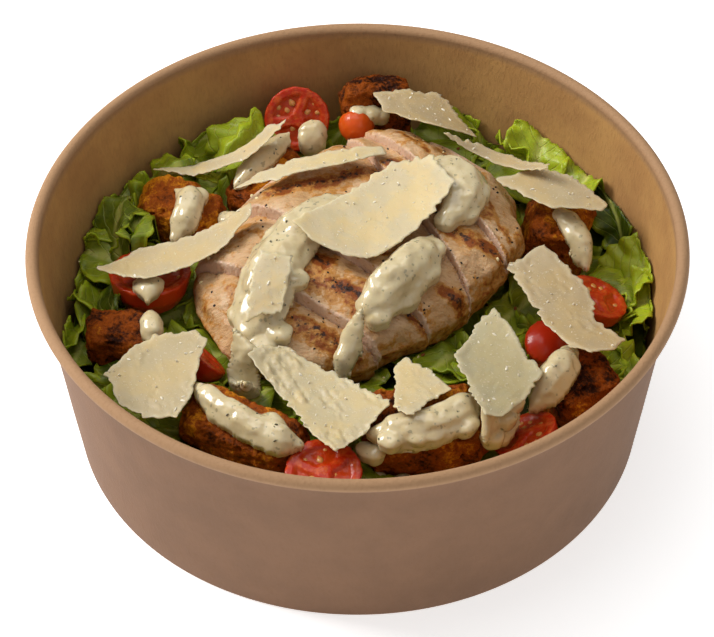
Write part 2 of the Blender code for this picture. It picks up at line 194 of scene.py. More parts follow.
def refined(node, voxel, rounds, lobes=()):
    """The frame node's shape as a fine even mesh, smoothed that many rounds, with lobes added."""
    bm = frame_solid(node) if node in frame["nodes"] else bmesh.new()
    for centre, radius in lobes:
        place = Matrix.Translation(centre) @ Matrix.Diagonal((1, 1, 0.62, 1))
        bmesh.ops.create_icosphere(bm, subdivisions=3, radius=radius, matrix=place)
    bmesh.ops.scale(bm, vec=(MM,) * 3, verts=bm.verts)
    mesh = bpy.data.meshes.new(node)
    bm.to_mesh(mesh)
    bm.free()
    obj = new_object(node + "_draft", mesh)
    remesh = obj.modifiers.new("even", "REMESH")
    remesh.mode = "VOXEL"
    remesh.voxel_size = voxel * MM
    smooth = obj.modifiers.new("smooth", "SMOOTH")
    smooth.iterations = rounds
    mesh = applied(obj, node)
    mesh.shade_smooth()
    return mesh


def finish_piece(name, mesh, material, replaced=()):
    """Shows a finished mesh as a piece of the salad."""
    mesh.materials.clear()
    mesh.materials.append(material)
    obj = new_object(name, mesh)
    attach(obj, BODY)
    if replaced:
        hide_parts(*replaced)
    return obj


# ---------------------------------------------------------------------------------------------
# Node helpers
# ---------------------------------------------------------------------------------------------


def add_node(tree, kind, inputs=None, **settings):
    """Adds a node with its settings. An input is a value, or another node's output to link."""
    node = tree.nodes.new(kind)
    for name, value in settings.items():
        setattr(node, name, value)
    for key, value in (inputs or {}).items():
        if isinstance(value, bpy.types.NodeSocket):
            tree.links.new(value, node.inputs[key])
        else:
            node.inputs[key].default_value = value
    return node


def new_material(name, **inputs):
    """A material with one Principled shader, whose constant values are given by socket name."""
    material = bpy.data.materials.new(name)
    material.use_nodes = True
    tree = material.node_tree
    shader = tree.nodes["Principled BSDF"]
    for key, value in inputs.items():
        socket = shader.inputs[key.replace("_", " ")]
        socket.default_value = (*value, 1.0) if socket.type == "RGBA" else value
    return material, tree, shader


def grain(tree, wave, seed=0.0, detail=3.0, stretch=(1, 1, 1), roughness=0.6):
    """Noise with lumps that many millimetres across, on the object's own coordinates."""
    place = add_node(tree, "ShaderNodeTexCoord").outputs["Object"]
    moved = add_node(
        tree, "ShaderNodeMapping", {"Vector": place, "Location": (seed, seed, seed), "Scale": stretch}
    )
    inputs = {"Vector": moved.outputs[0], "Scale": 1 / (wave * MM), "Detail": detail, "Roughness": roughness}
    return add_node(tree, "ShaderNodeTexNoise", inputs).outputs["Fac"]


def between(tree, value, low, high):
    """0 where the value is below low and 1 above high, with a smooth step between."""
    inputs = {"Value": value, "From Min": low, "From Max": high}
    return add_node(tree, "ShaderNodeMapRange", inputs, interpolation_type="SMOOTHSTEP").outputs[0]


def blend_colours(tree, share, first, second, blend_type="MIX"):
    """The first colour where the share is 0 and the second where it is 1."""
    inputs = {0: share}
    for key, colour in ((6, first), (7, second)):
        inputs[key] = colour if isinstance(colour, bpy.types.NodeSocket) else (*colour, 1.0)
    return add_node(tree, "ShaderNodeMix", inputs, data_type="RGBA", blend_type=blend_type).outputs[2]


def calculate(tree, operation, first, second=0.0):
    return add_node(tree, "ShaderNodeMath", {0: first, 1: second}, operation=operation).outputs[0]


def painted(tree, name):
    """A number painted on the mesh."""
    return add_node(tree, "ShaderNodeAttribute", attribute_name=name).outputs["Fac"]


def raise_surface(tree, shader, height, depth, under=None):
    """Bumps the shader's surface by the height, whose full range is that many millimetres."""
    inputs = {"Height": height, "Distance": depth * MM, "Strength": 1.0}
    if under is not None:
        inputs["Normal"] = under
    bump = add_node(tree, "ShaderNodeBump", inputs)
    tree.links.new(bump.outputs[0], shader.inputs["Normal"])
    return bump.outputs[0]


def new_tree(name, sockets):
    """A Geometry Nodes tree with a Geometry input and output, and the named inputs that follow."""
    tree = bpy.data.node_groups.new(name, "GeometryNodeTree")
    tree.interface.new_socket("Geometry", in_out="OUTPUT", socket_type="NodeSocketGeometry")
    tree.interface.new_socket("Geometry", in_out="INPUT", socket_type="NodeSocketGeometry")
    for label, kind in sockets.items():
        tree.interface.new_socket(label, in_out="INPUT", socket_type="NodeSocket" + kind)
    return tree, tree.nodes.new("NodeGroupInput").outputs


def end_tree(tree, result, material):
    """Ends a tree in Realize Instances and Set Material."""
    real = add_node(tree, "GeometryNodeRealizeInstances", {"Geometry": result}).outputs[0]
    coated = add_node(tree, "GeometryNodeSetMaterial", {"Geometry": real, "Material": material}).outputs[0]
    add_node(tree, "NodeGroupOutput", {"Geometry": coated})


def run_tree(name, mesh, tree, values):
    """The mesh that the tree makes from this one, with its inputs set."""
    obj = new_object(name + "_draft", mesh)
    modifier = obj.modifiers.new("tree", "NODES")
    modifier.node_group = tree
    for item in tree.interface.items_tree:
        if item.in_out == "INPUT" and item.name in values:
            modifier[item.identifier] = values[item.name]
    return applied(obj, name)


# ---------------------------------------------------------------------------------------------
# Bowl: kraft board, wound to a cone, with a rolled rim and a base held in a fold at the foot
# ---------------------------------------------------------------------------------------------


class SaladBowl(bpy.types.PropertyGroup):
    board: FloatProperty(
        name="Board", description="Thickness of the kraft board", default=0.6 * MM, unit="LENGTH", min=0.1 * MM
    )
    bead: FloatProperty(
        name="Rim", description="Radius of the rolled rim", default=1.8 * MM, unit="LENGTH", min=0.2 * MM
    )
    seam: FloatProperty(
        name="Seam", description="Width of the glued overlap at the back", default=9 * MM, unit="LENGTH"
    )
    kraft: FloatVectorProperty(
        name="Kraft", description="Colour of the board", subtype="COLOR", default=linear("#856248"), min=0, max=1
    )
    fibre: FloatVectorProperty(
        name="Fibres", description="Colour of its darker fibres", subtype="COLOR", default=linear("#7d5836"), min=0, max=1
    )


def kraft_board(bowl):
    """Uncoated kraft board: matt brown paper, clouded, with short fibres lying round the bowl."""
    material, tree, shader = new_material("kraft paperboard", Roughness=0.72, IOR=1.5, Specular_IOR_Level=0.3)
    clouds = between(tree, grain(tree, 14.0, detail=4.0), 0.3, 0.75)
    fibres = between(tree, grain(tree, 0.9, 3.1, 4.0, (1, 1, 0.35)), 0.42, 0.72)
    specks = between(tree, grain(tree, 1.6, 7.7, 1.0), 0.74, 0.8)
    outer = blend_colours(tree, clouds, bowl.kraft, [0.88 * c for c in bowl.kraft])
    # The inner side is lighter and yellower than the outer: partly the coated inner face's own hue, partly painted
    # light that brightens the inside of the bowl.
    inner = blend_colours(tree, clouds, linear("#c09258"), linear("#b0824f"))
    sided = blend_colours(tree, painted(tree, "inside"), outer, inner)
    # The top of the rolled rim is painted paler: a painted highlight where the bead catches the light.
    base = blend_colours(tree, painted(tree, "rim"), sided, linear("#a9835f"))
    marked = blend_colours(tree, calculate(tree, "MULTIPLY", fibres, 0.16), base, tuple(bowl.fibre))
    specked = blend_colours(tree, calculate(tree, "MULTIPLY", specks, 0.12), marked, linear("#5d3f26"))
    tree.links.new(specked, shader.inputs["Base Color"])
    raise_surface(tree, shader, fibres, 0.05)
    return material


def turned_tree():
    """Sweeps a closed profile of (radius - ring radius, height) round a ring."""
    tree, given = new_tree("turned board", {"Ring radius": "Float", "Steps": "Int", "Material": "Material"})
    ring = add_node(
        tree, "GeometryNodeCurvePrimitiveCircle", {"Resolution": given["Steps"], "Radius": given["Ring radius"]}
    )
    profile = add_node(tree, "GeometryNodeMeshToCurve", {"Mesh": given["Geometry"]})
    swept = add_node(
        tree, "GeometryNodeCurveToMesh", {"Curve": ring.outputs[0], "Profile Curve": profile.outputs[0]}
    )
    smooth = add_node(tree, "GeometryNodeSetShadeSmooth", {"Geometry": swept.outputs[0]})
    end_tree(tree, smooth.outputs[0], given["Material"])
    return tree


def arc(centre, radius, start, end, steps):
    """Points along an arc, by angles in degrees."""
    angles = np.radians(np.linspace(start, end, steps))
    return [(centre[0] + radius * math.cos(a), centre[1] + radius * math.sin(a)) for a in angles]


def turn_profile(name, profile, ring, tree, material):
    """A closed profile of (radius, height) in millimetres, swept round the bowl's axis."""
    points = [(radius - ring, -height, 0) for radius, height in profile]
    mesh = new_mesh(name, points, [])
    mesh.edges.add(len(points))
    links = [(k, (k + 1) % len(points)) for k in range(len(points))]
    mesh.edges.foreach_set("vertices", np.array(links).ravel())
    values = {"Ring radius": ring * MM, "Steps": 240, "Material": material}
    mesh = run_tree(name, mesh, tree, values)
    bm = bmesh.new()
    bm.from_mesh(mesh)
    bmesh.ops.remove_doubles(bm, verts=bm.verts, dist=0.001 * MM)
    bmesh.ops.recalc_face_normals(bm, faces=bm.faces)
    bm.to_mesh(mesh)
    bm.free()
    mesh.set_sharp_from_angle(angle=math.radians(50))
    return mesh


class SALAD_OT_bowl(bpy.types.Operator):
    """Makes the kraft bowl: its wall with the rolled rim and folded foot, and its base"""

    bl_idname = "salad.bowl"
    bl_label = "Bowl"

    def execute(self, context):
        bowl = context.scene.salad_bowl
        material = kraft_board(bowl)
        tree = turned_tree()
        board, bead, gap = bowl.board / MM, bowl.bead / MM, 0.35
        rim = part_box("bowl_wall")[1].x / MM
        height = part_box("bowl_wall")[1].z / MM
        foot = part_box("bowl_base")[1].x / MM + board + gap
        base_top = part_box("bowl_base")[1].z / MM
        bead_r, bead_z = rim - bead, height - bead
        top = rim - 2 * bead + board

        def layer(z, boards, gaps=0):
            return foot + (top - foot) * z / bead_z - boards * board - gaps * gap

        under = bead_z - 0.75 * bead
        wall = arc((bead_r, bead_z), bead, 190, -125, 26)
        wall += [(layer(under, 0) + 0.3, under - 0.1), (layer(under - 1, 0), under - 1)]
        wall += [(layer(z, 0), z) for z in np.linspace(under - 8, 8, 5)]
        wall += [(layer(0.8, 0), 0.8), (layer(0, 0) - 0.1, 0.2), (layer(0, 0) - 0.5, 0)]
        wall += [(layer(0, 3, 2) + 0.4, 0), (layer(0, 3, 2), 0.5), (layer(4.8, 3, 2), 4.8)]
        wall += [(layer(4.8, 2, 2), 4.8), (layer(board, 2, 2), board), (layer(board, 1), board)]
        wall += [(layer(z, 1), z) for z in (*np.linspace(8, under - 4, 6), bead_z - bead - 0.4)]
        mesh = turn_profile("kraft_wall", wall, foot, tree, material)
        points = points_of(mesh)
        angle = np.degrees(np.arctan2(points[:, 1], points[:, 0]))
        across = np.radians(angle - 97) * np.hypot(points[:, 0], points[:, 1]) / (bowl.seam / MM)
        outside = np.hypot(points[:, 0], points[:, 1]) > layer(0, 0.5) + (top - foot) * points[:, 2] / bead_z
        step = 0.35 * ramp(across, -0.55, -0.45) * (1 - ramp(across, 0.45, 2.5))
        outward = points * (1, 1, 0) / np.hypot(points[:, 0], points[:, 1])[:, None]
        wave = 0.12 * lumps(points * (1, 1, 0.4), 46.0, 3) + 0.05 * lumps(points, 12.0, 5)
        on_wall = (points[:, 2] < under - 2) & (points[:, 2] > 1)
        move = np.where(outside & on_wall, step, 0) + wave * ramp(points[:, 2], 6, 20) * (points[:, 2] < under)
        place_points(mesh, points + outward * move[:, None])
        # Marks the inner side, whose lighter colour is partly painted light.
        paint(mesh, "inside", ~outside)
        # Where the rim's painted highlight lies, strongest at the top of the bead.
        paint(mesh, "rim", ramp(points[:, 2], bead_z - bead, bead_z))
        finish_piece("kraft_wall", mesh, material, ["bowl_wall"])

        low, floor = board + gap, base_top - board
        disc = [(0.02, base_top)] + [(r, base_top) for r in (30, 55)]
        disc += [(layer(base_top, 1, 1) - 0.8, base_top), (layer(base_top - 0.8, 1, 1), base_top - 0.8)]
        disc += [(layer(low, 1, 1), low), (layer(low, 2, 1), low), (layer(floor, 2, 1) - 0.4, floor)]
        disc += [(55, floor), (30, floor), (0.02, floor)]
        mesh = turn_profile("kraft_base", disc, foot, tree, material)
        finish_piece("kraft_base", mesh, material, ["bowl_base"])
        return {"FINISHED"}


# ---------------------------------------------------------------------------------------------
# Salad leaves: torn romaine and curly leaves over a smaller core
# ---------------------------------------------------------------------------------------------


class SaladLeaves(bpy.types.PropertyGroup):
    spacing: FloatProperty(
        name="Spacing", description="Least distance between the leaves of the bed", default=7.5 * MM, unit="LENGTH"
    )
    thickness: FloatProperty(
        name="Thickness", description="Thickness of a leaf", default=0.45 * MM, unit="LENGTH", min=0.1 * MM
    )
    seed: IntProperty(name="Seed", description="Changes how the bed of leaves falls", default=4, min=0)
    # The dark colour stands for the outer leaves and, at low tones, for painted shade; the bright one for the inner
    # leaves and, at high tones, for painted light.
    dark: FloatVectorProperty(
        name="Dark leaf", description="Colour of the outer leaves", subtype="COLOR", default=linear("#2b3d00"), min=0, max=1
    )
    bright: FloatVectorProperty(
        name="Bright leaf", description="Colour of the inner leaves", subtype="COLOR", default=linear("#9eab1c"), min=0, max=1
    )
    rib: FloatVectorProperty(
        name="Rib", description="Colour of the ribs and veins", subtype="COLOR", default=linear("#bcbf62"), min=0, max=1
    )


# Leaves that show, placed one by one: x, y and z of the middle, the way its length points
# (azimuth, elevation), its roll about that, length, width, how far it curls over, and its tone
# from dark (0) to bright (1). The tone is partly the leaf's own colour and partly painted light:
# leaves in the wall's shade and under the chicken are painted darker as painted shade, and some
# front left leaves are painted brighter than 1 to lighten them where they lie in shade.
SHOWN_LEAVES = [
    # against the wall, left, mostly dark as painted shade of the wall
    ((-80, 30, 31), (100, 35), -60, 34, 30, 60, 0.25),
    ((-78, 8, 31), (80, 20), -70, 36, 28, 40, 0.15),
    ((-74, 36, 36), (60, 45), -40, 30, 26, 80, 0.45),
    ((-68, 46, 37), (50, 40), -50, 28, 24, 70, 0.4),
    ((-60, 56, 40), (40, 35), -60, 26, 22, 90, 0.55),
    ((-70, 24, 33), (20, 10), 20, 30, 24, 50, 0.6),
    ((-72, -22, 31), (110, 25), -50, 30, 24, 60, 0.2),
    ((-64, -36, 30), (140, 20), -40, 28, 22, 50, 0.45),
    # back left, bright curls
    ((-44, 64, 43), (70, 55), -30, 30, 28, 110, 0.85),
    ((-33, 68, 48), (20, 40), -50, 32, 26, 130, 1.0),
    ((-50, 60, 40), (120, 50), 30, 24, 22, 100, 0.7),
    ((-38, 56, 38), (0, 20), 10, 26, 22, 60, 0.6),
    # back right
    ((43, 61, 46), (70, 48), 0, 26, 22, 50, 1.1),
    ((33, 69, 44), (130, 40), 30, 26, 22, 70, 0.6),
    ((50, 56, 43), (120, 30), 40, 30, 26, 80, 0.8),
    ((58, 52, 40), (60, 30), -20, 24, 20, 90, 0.7),
    ((66, 40, 38), (100, 30), -40, 28, 24, 70, 0.15),
    # right
    ((74, 27, 37), (20, 45), 0, 24, 24, 60, 1.0),
    ((75, 15, 35), (0, 40), 10, 24, 22, 70, 1.0),
    ((78, 3, 34), (80, 30), 50, 26, 20, 70, 0.9),
    ((74, -11, 33), (100, 20), 40, 24, 20, 120, 0.8),
    ((70, -26, 32), (60, 10), 40, 26, 20, 90, 0.5),
    # under the right side of the chicken, dark as painted shade
    ((46, 2, 33), (-60, 10), 20, 32, 26, 60, 0.2),
    ((38, -10, 33), (-30, 15), -20, 30, 24, 60, 0.15),
    ((48, -14, 36), (60, 25), 30, 24, 20, 90, 0.3),
    ((30, -22, 32), (-10, 10), 10, 28, 24, 60, 0.1),
    ((20, -26, 32), (30, 10), -10, 28, 22, 60, 0.12),
    # front left, mostly bright, some past 1, as painted light where the shaving shades them
    ((-60, -40, 35), (-60, 15), 20, 24, 20, 60, 1.0),
    ((-52, -48, 34), (-30, 10), 15, 24, 18, 70, 1.1),
    ((-43, -55, 33), (-30, 10), 15, 26, 20, 80, 0.9),
    ((-30, -68, 31), (0, 15), 20, 26, 20, 80, 0.4),
    ((-57, -53, 37), (-45, 30), 30, 20, 16, 110, 1.3),
    ((-47, -61, 36), (-40, 20), -20, 22, 16, 90, 1.2),
    ((-70, 30, 36), (200, 30), 10, 26, 24, 40, 0.75),
    ((-64, 36, 37), (150, 30), 0, 26, 22, 50, 0.5),
    # beside the chicken, left
    ((-48, 6, 33), (-70, 10), 10, 28, 24, 60, 0.35),
    ((-44, 30, 36), (60, 15), 20, 28, 24, 70, 0.3),
    ((-50, -8, 32), (-40, 5), 0, 26, 22, 50, 0.5),
]


def leaf_sheet(length, width, curl, ruffle, rng, rows, columns):
    """One torn leaf lying along Y about its middle: points in millimetres, UVs and quads.

    It cups across its rib, curls over along its length, and its margins run in waves.
    """
    along, across = np.meshgrid(np.linspace(0, 1, rows), np.linspace(-1, 1, columns), indexing="ij")
    phase = rng.uniform(0, 6.28, 4)
    side = np.sign(across)
    edge = np.abs(across)
    outline = (1 - np.abs(2 * along - 0.95) ** 3.0 * 0.85) * (0.8 + 0.25 * along)
    torn = 1 + 0.10 * np.sin(7 * along + phase[0] + side) + 0.05 * np.sin(17 * along + phase[1] - 2 * side)
    half = width / 2 * np.clip(outline, 0.12, 1) * torn
    bend = math.radians(curl) * (along - 0.5) * (0.6 + 0.8 * along)
    step = length / (rows - 1)
    run = np.cumsum(np.cos(bend), axis=0) * step
    lift = -np.cumsum(np.sin(bend), axis=0) * step
    wave = ruffle * edge**2.2 * (
        np.sin(15 * along + phase[2] + 1.3 * side) + 0.65 * np.sin(38 * along + phase[3] * side)
    )
    cup = 0.30 * half * edge**2
    x = half * across * (1 - 0.10 * edge)
    rise = wave + cup - 0.8 * np.exp(-((across / 0.10) ** 2))
    y = run + rise * np.sin(bend)
    z = lift + rise * np.cos(bend)
    points = np.stack([x, y, z], axis=-1).reshape(-1, 3)
    crinkle = 0.9 * lumps(points, 5.0, int(rng.integers(99))) + 0.5 * lumps(points, 2.6, int(rng.integers(99)))
    points += crinkle[:, None] * (0, 0.3, 1)
    points -= points[len(points) // 2]
    uvs = np.stack([across * 0.5 + 0.5, along], axis=-1).reshape(-1, 2)
    grid = np.arange(rows * columns).reshape(rows, columns)
    quads = np.stack([grid[:-1, :-1], grid[:-1, 1:], grid[1:, 1:], grid[1:, :-1]], axis=-1).reshape(-1, 4)
    return points, uvs, quads


def leaf_mesh(name, sheets):
    """Leaves as one mesh, each with its UVs, and its tone painted on."""
    points = np.concatenate([sheet[0] for sheet in sheets])
    starts = np.cumsum([0] + [len(sheet[0]) for sheet in sheets])
    faces = np.concatenate([sheet[2] + start for sheet, start in zip(sheets, starts)])
    mesh = new_mesh(name, points, faces)
    uvs = np.concatenate([sheet[1] for sheet in sheets])
    layer = mesh.uv_layers.new(name="leaf")
    corners = np.empty(len(mesh.loops), np.int32)
    mesh.loops.foreach_get("vertex_index", corners)
    layer.data.foreach_set("uv", uvs[corners].ravel())
    paint(mesh, "tone", np.concatenate([np.full(len(sheet[0]), sheet[3]) for sheet in sheets]))
    mesh.shade_smooth()
    return mesh


def leaf_material(leaves):
    """Lettuce: a thin moist blade with a waxy gloss, pale ribs, and light showing through it."""
    material, tree, shader = new_material(
        "lettuce leaf",
        Roughness=0.46,
        IOR=1.42,
        Specular_IOR_Level=0.35,
        Subsurface_Weight=0.3,
        Subsurface_Radius=(0.5, 1.0, 0.15),
        Subsurface_Scale=1.2 * MM,
        Coat_Weight=0.15,
        Coat_Roughness=0.25,
    )
    place = add_node(tree, "ShaderNodeUVMap", uv_map="leaf").outputs[0]
    parts = add_node(tree, "ShaderNodeSeparateXYZ", {0: place}).outputs
    middle = calculate(tree, "ABSOLUTE", calculate(tree, "SUBTRACT", parts[0], 0.5))
    patches = grain(tree, 5.0, 2.0, 3.0)
    wander = calculate(tree, "MULTIPLY", patches, 0.35)
    slant = calculate(tree, "SUBTRACT", calculate(tree, "MULTIPLY", parts[1], 7.0), calculate(tree, "MULTIPLY", middle, 6.0))
    beat = calculate(tree, "PINGPONG", calculate(tree, "ADD", slant, wander), 0.5)
    veins = calculate(tree, "SUBTRACT", 1.0, between(tree, beat, 0.0, 0.09))
    rib = calculate(tree, "SUBTRACT", 1.0, between(tree, middle, 0.02, 0.10))
    tone = calculate(tree, "ADD", painted(tree, "tone"), calculate(tree, "MULTIPLY", calculate(tree, "SUBTRACT", patches, 0.5), 0.8))
    # The leaf's edges are painted brighter: a painted glow of light showing through the thin margin.
    backlit_edge = calculate(tree, "MULTIPLY", between(tree, middle, 0.36, 0.5), 0.45)
    inner = calculate(tree, "ADD", tone, backlit_edge)
    blade = blend_colours(tree, between(tree, inner, -0.1, 1.0), tuple(leaves.dark), tuple(leaves.bright))
    veined = blend_colours(tree, calculate(tree, "MULTIPLY", veins, 0.30), blade, tuple(leaves.rib))
    ribbed = blend_colours(tree, calculate(tree, "MULTIPLY", rib, 0.7), veined, tuple(leaves.rib))
    tree.links.new(ribbed, shader.inputs["Base Color"])
    relief = calculate(tree, "SUBTRACT", grain(tree, 1.6, 5.0, 3.0), calculate(tree, "MULTIPLY", veins, 0.6))
    raise_surface(tree, shader, relief, 0.25)
    return material


def bed_tree():
    """Strews leaves over a surface, each turned and tilted its own way, and stores its tone."""
    sockets = {"Leaves": "Collection", "Spacing": "Float", "Seed": "Int", "Material": "Material"}
    tree, given = new_tree("bed of leaves", sockets)
    upright = add_node(tree, "GeometryNodeInputNormal")
    facing = add_node(tree, "ShaderNodeSeparateXYZ", {0: upright.outputs[0]})
    upward = add_node(tree, "FunctionNodeCompare", {0: facing.outputs[2], 1: 0.35}, operation="GREATER_THAN")
    strewn = add_node(
        tree,
        "GeometryNodeDistributePointsOnFaces",
        {
            "Mesh": given["Geometry"],
            "Selection": upward.outputs[0],
            "Distance Min": given["Spacing"],
            "Density Max": 60000.0,
            "Seed": given["Seed"],
        },
        distribute_method="POISSON",
    )
    turn = add_node(
        tree, "FunctionNodeRandomValue", {0: (-0.75, -0.6, 0.0), 1: (0.75, 0.6, 6.28), "Seed": given["Seed"]},
        data_type="FLOAT_VECTOR",
    )
    size = add_node(tree, "FunctionNodeRandomValue", {2: 0.75, 3: 1.15, "Seed": given["Seed"]})
    kinds = add_node(
        tree, "GeometryNodeCollectionInfo",
        {"Collection": given["Leaves"], "Separate Children": True, "Reset Children": True},
    )
    laid = add_node(
        tree,
        "GeometryNodeInstanceOnPoints",
        {
            "Points": strewn.outputs["Points"],
            "Instance": kinds.outputs[0],
            "Pick Instance": True,
            "Rotation": turn.outputs[0],
            "Scale": size.outputs[1],
        },
    )
    tone = add_node(tree, "FunctionNodeRandomValue", {2: 0.0, 3: 0.8, "Seed": 9})
    toned = add_node(
        tree,
        "GeometryNodeStoreNamedAttribute",
        {"Geometry": laid.outputs[0], "Name": "tone", "Value": tone.outputs[1]},
        data_type="FLOAT",
        domain="INSTANCE",
    )
    end_tree(tree, toned.outputs[0], given["Material"])
    return tree


class Room:
    """The room that the leaves have: inside the wall, and under or beside the toppings."""

    def __init__(self):
        toppings = [name for name in frame["nodes"] if name != LEAF_NODE and not name.startswith("bowl")]
        self.toppings = frame_tree(sorted(toppings))
        self.heap = frame_tree([LEAF_NODE])
        self.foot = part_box("bowl_base")[1].x / MM
        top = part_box("bowl_wall")[1] / MM
        self.slope = (top.x - 3.6 - self.foot) / (top.z - 1.8)

    def heap_top(self, x, y):
        hit = self.heap.ray_cast(Vector((x, y, 200)), Vector((0, 0, -1)))[0]
        return hit.z if hit else 28.0

    def keep(self, points, proud=9.0):
        """Moves points of leaves out of the toppings and the wall."""
        moved = self.inside_wall(points)
        for point in moved:
            x, y, z = map(float, point)
            hit = self.toppings.ray_cast(Vector((x, y, 7)), Vector((0, 0, 1)))[0]
            if hit is not None and hit.z - 1.0 < z:
                z = hit.z - 0.8 - 0.12 * min(6, z - hit.z + 1.0)
            point[2] = max(min(z, self.heap_top(x * 0.985, y * 0.985) + proud), 7.5)
        return self.inside_wall(moved)

    def inside_wall(self, points):
        reach = np.hypot(points[:, 0], points[:, 1])
        most = self.foot + self.slope * points[:, 2] - 0.8
        return points * np.column_stack([np.minimum(1, most / np.maximum(reach, 1))] * 2 + [np.ones(len(points))])


def thicken(mesh, thickness, name):
    """Gives a sheet its thickness, with closed edges."""
    obj = new_object(name + "_draft", mesh)
    shell = obj.modifiers.new("thickness", "SOLIDIFY")
    shell.thickness = thickness
    shell.offset = 0
    mesh = applied(obj, name)
    mesh.shade_smooth()
    return mesh


def leaf_turn(heading, roll):
    """The rotation that points a leaf's length that way and rolls it about its own length."""
    azimuth, elevation = (math.radians(angle) for angle in heading)
    turn = Matrix.Rotation(azimuth - math.pi / 2, 3, "Z") @ Matrix.Rotation(elevation, 3, "X")
    return np.array(turn @ Matrix.Rotation(math.radians(roll), 3, "Y"))


class SALAD_OT_leaves(bpy.types.Operator):
    """Makes the core of the heap, the bed of leaves over it, and the leaves that stand up round it"""

    bl_idname = "salad.leaves"
    bl_label = "Leaves"

    def execute(self, context):
        leaves = context.scene.salad_leaves
        material = leaf_material(leaves)
        room = Room()
        core = frame_solid(LEAF_NODE)
        for vert in core.verts:
            if vert.co.z > 12:
                vert.co.z -= 5.5
                vert.co.xy *= 0.975
        bmesh.ops.scale(core, vec=(MM,) * 3, verts=core.verts)
        mesh = bpy.data.meshes.new("leaf_core")
        core.to_mesh(mesh)
        core.free()
        # The core is painted darker than any leaf: painted shade in the gaps between the leaves above it.
        paint(mesh, "tone", np.full(len(mesh.vertices), -0.4))
        bed_base = mesh.copy()
        mesh.shade_smooth()
        finish_piece("leaf_core", mesh, material, [LEAF_NODE])

        rng = np.random.default_rng(11)
        kinds = bpy.data.collections.new("leaf_kinds")
        for index in range(9):
            length, width, curl, ruffle = (rng.uniform(*span) for span in ((22, 32), (17, 25), (20, 120), (1.2, 2.6)))
            sheet = leaf_sheet(length, width, curl, ruffle, rng, 18, 12)
            kinds.objects.link(bpy.data.objects.new(f"leaf_{index}", leaf_mesh("leaf", [(*sheet, 0.5)])))
        values = {"Leaves": kinds, "Spacing": leaves.spacing, "Seed": leaves.seed, "Material": material}
        bed = run_tree("bed_leaves", bed_base, bed_tree(), values)
        for kind in list(kinds.objects):
            bpy.data.objects.remove(kind)
        bpy.data.collections.remove(kinds)
        place_points(bed, room.keep(points_of(bed) + (0, 0, 5.5), 4.0))
        finish_piece("bed_leaves", thicken(bed, leaves.thickness, "bed_leaves"), material)

        sheets = []
        for place, heading, roll, length, width, curl, tone in SHOWN_LEAVES:
            points, uvs, quads = leaf_sheet(length, width, curl, rng.uniform(1.2, 2.4), rng, 30, 21)
            turned = points @ leaf_turn(heading, roll).T + place
            sheets.append((room.keep(turned, 13.0), uvs, quads, tone))
        shown = leaf_mesh("shown_leaves", sheets)
        finish_piece("shown_leaves", thicken(shown, leaves.thickness, "shown_leaves"), material)
        return {"FINISHED"}


# ---------------------------------------------------------------------------------------------
# Chicken: a grilled breast cut into slices
# ---------------------------------------------------------------------------------------------


class GrilledChicken(bpy.types.PropertyGroup):
    roughness: FloatProperty(
        name="Lumps", description="Height of the lumps of its surface", default=0.9 * MM, unit="LENGTH", min=0
    )
    pepper: FloatProperty(
        name="Pepper", description="Flecks of pepper to a square centimetre", default=2.2, min=0, max=20
    )
    flesh: FloatVectorProperty(
        name="Flesh", description="Colour of the cooked flesh", subtype="COLOR", default=linear("#d2ad83"), min=0, max=1
    )
    # The cut faces are paler partly by nature and partly as painted light, lightened to make up for the shade in the
    # gaps between the slices.
    cut: FloatVectorProperty(
        name="Cut face", description="Colour of the moist cut faces", subtype="COLOR", default=linear("#e2c0a4"), min=0, max=1
    )
    brown: FloatVectorProperty(
        name="Browned", description="Colour of the browned patches", subtype="COLOR", default=linear("#8a4406"), min=0, max=1
    )
    char: FloatVectorProperty(
        name="Charred", description="Colour of the grill's deepest marks", subtype="COLOR", default=linear("#33170a"), min=0, max=1
    )


# Marks that the grill left on top: their route in x and y, half width, and how deep the browning is.
GRILL_MARKS = [
    ([(-24, 32), (-15, 35), (-8, 36), (3, 39), (11, 42)], 2.2, 0.75),
    ([(12, 56), (17, 51), (20, 46)], 0.9, 0.6),
    ([(17, 56), (22, 52), (25, 48)], 0.7, 0.5),
    ([(-12, 6), (-8, 4)], 2.0, 1.0),
    ([(-4, -5), (2, -8)], 1.6, 1.0),
    ([(-13, -2), (-5, -5), (2, -11)], 3.6, 0.6),
    ([(-17, -15), (-9, -18), (-1, -23)], 2.6, 0.65),
    ([(-35, -1), (-31, -11)], 1.4, 0.5),
    ([(25, 14), (33, 11), (41, 8)], 2.2, 0.8),
    ([(25, -4), (29, -6)], 1.8, 0.9),
    ([(36, 28), (40, 20), (43, 13)], 0.7, 0.5),
    ([(-33, 22), (-25, 14)], 1.0, 0.45),
    ([(5, 4), (13, 6)], 0.9, 0.5),
    ([(12, -7), (18, -12)], 1.6, 0.7),
    ([(-28, 8), (-20, 14), (-12, 20)], 0.8, 0.45),
    ([(14, 26), (24, 28), (31, 32)], 0.9, 0.4),
]


def route_distance(flat, route):
    """Each point's distance from a route of straight lengths."""
    least = np.full(len(flat), 1e9)
    for start, end in zip(route[:-1], route[1:]):
        start, run = np.array(start, float), np.subtract(end, start)
        share = np.clip((flat - start) @ run / (run @ run), 0, 1)
        least = np.minimum(least, np.linalg.norm(flat - start - share[:, None] * run, axis=1))
    return least


def flat_sides(node, least_area=60):
    """The node's large plane faces that stand up: (a point, the normal) of each."""
    bm = frame_solid(node)
    sides = {}
    for face in bm.faces:
        key = tuple(round(v, 1) for v in face.normal)
        if abs(face.normal.z) < 0.45:
            area, place, normal = sides.get(key, (0, Vector(), Vector()))
            part = face.calc_area()
            sides[key] = (area + part, place + face.calc_center_median() * part, normal + face.normal * part)
    bm.free()
    kept = [(p / a, n.normalized()) for a, p, n in sides.values() if a > least_area and n.length > 0.97 * a]
    return [(np.array(p), np.array(n)) for p, n in kept]


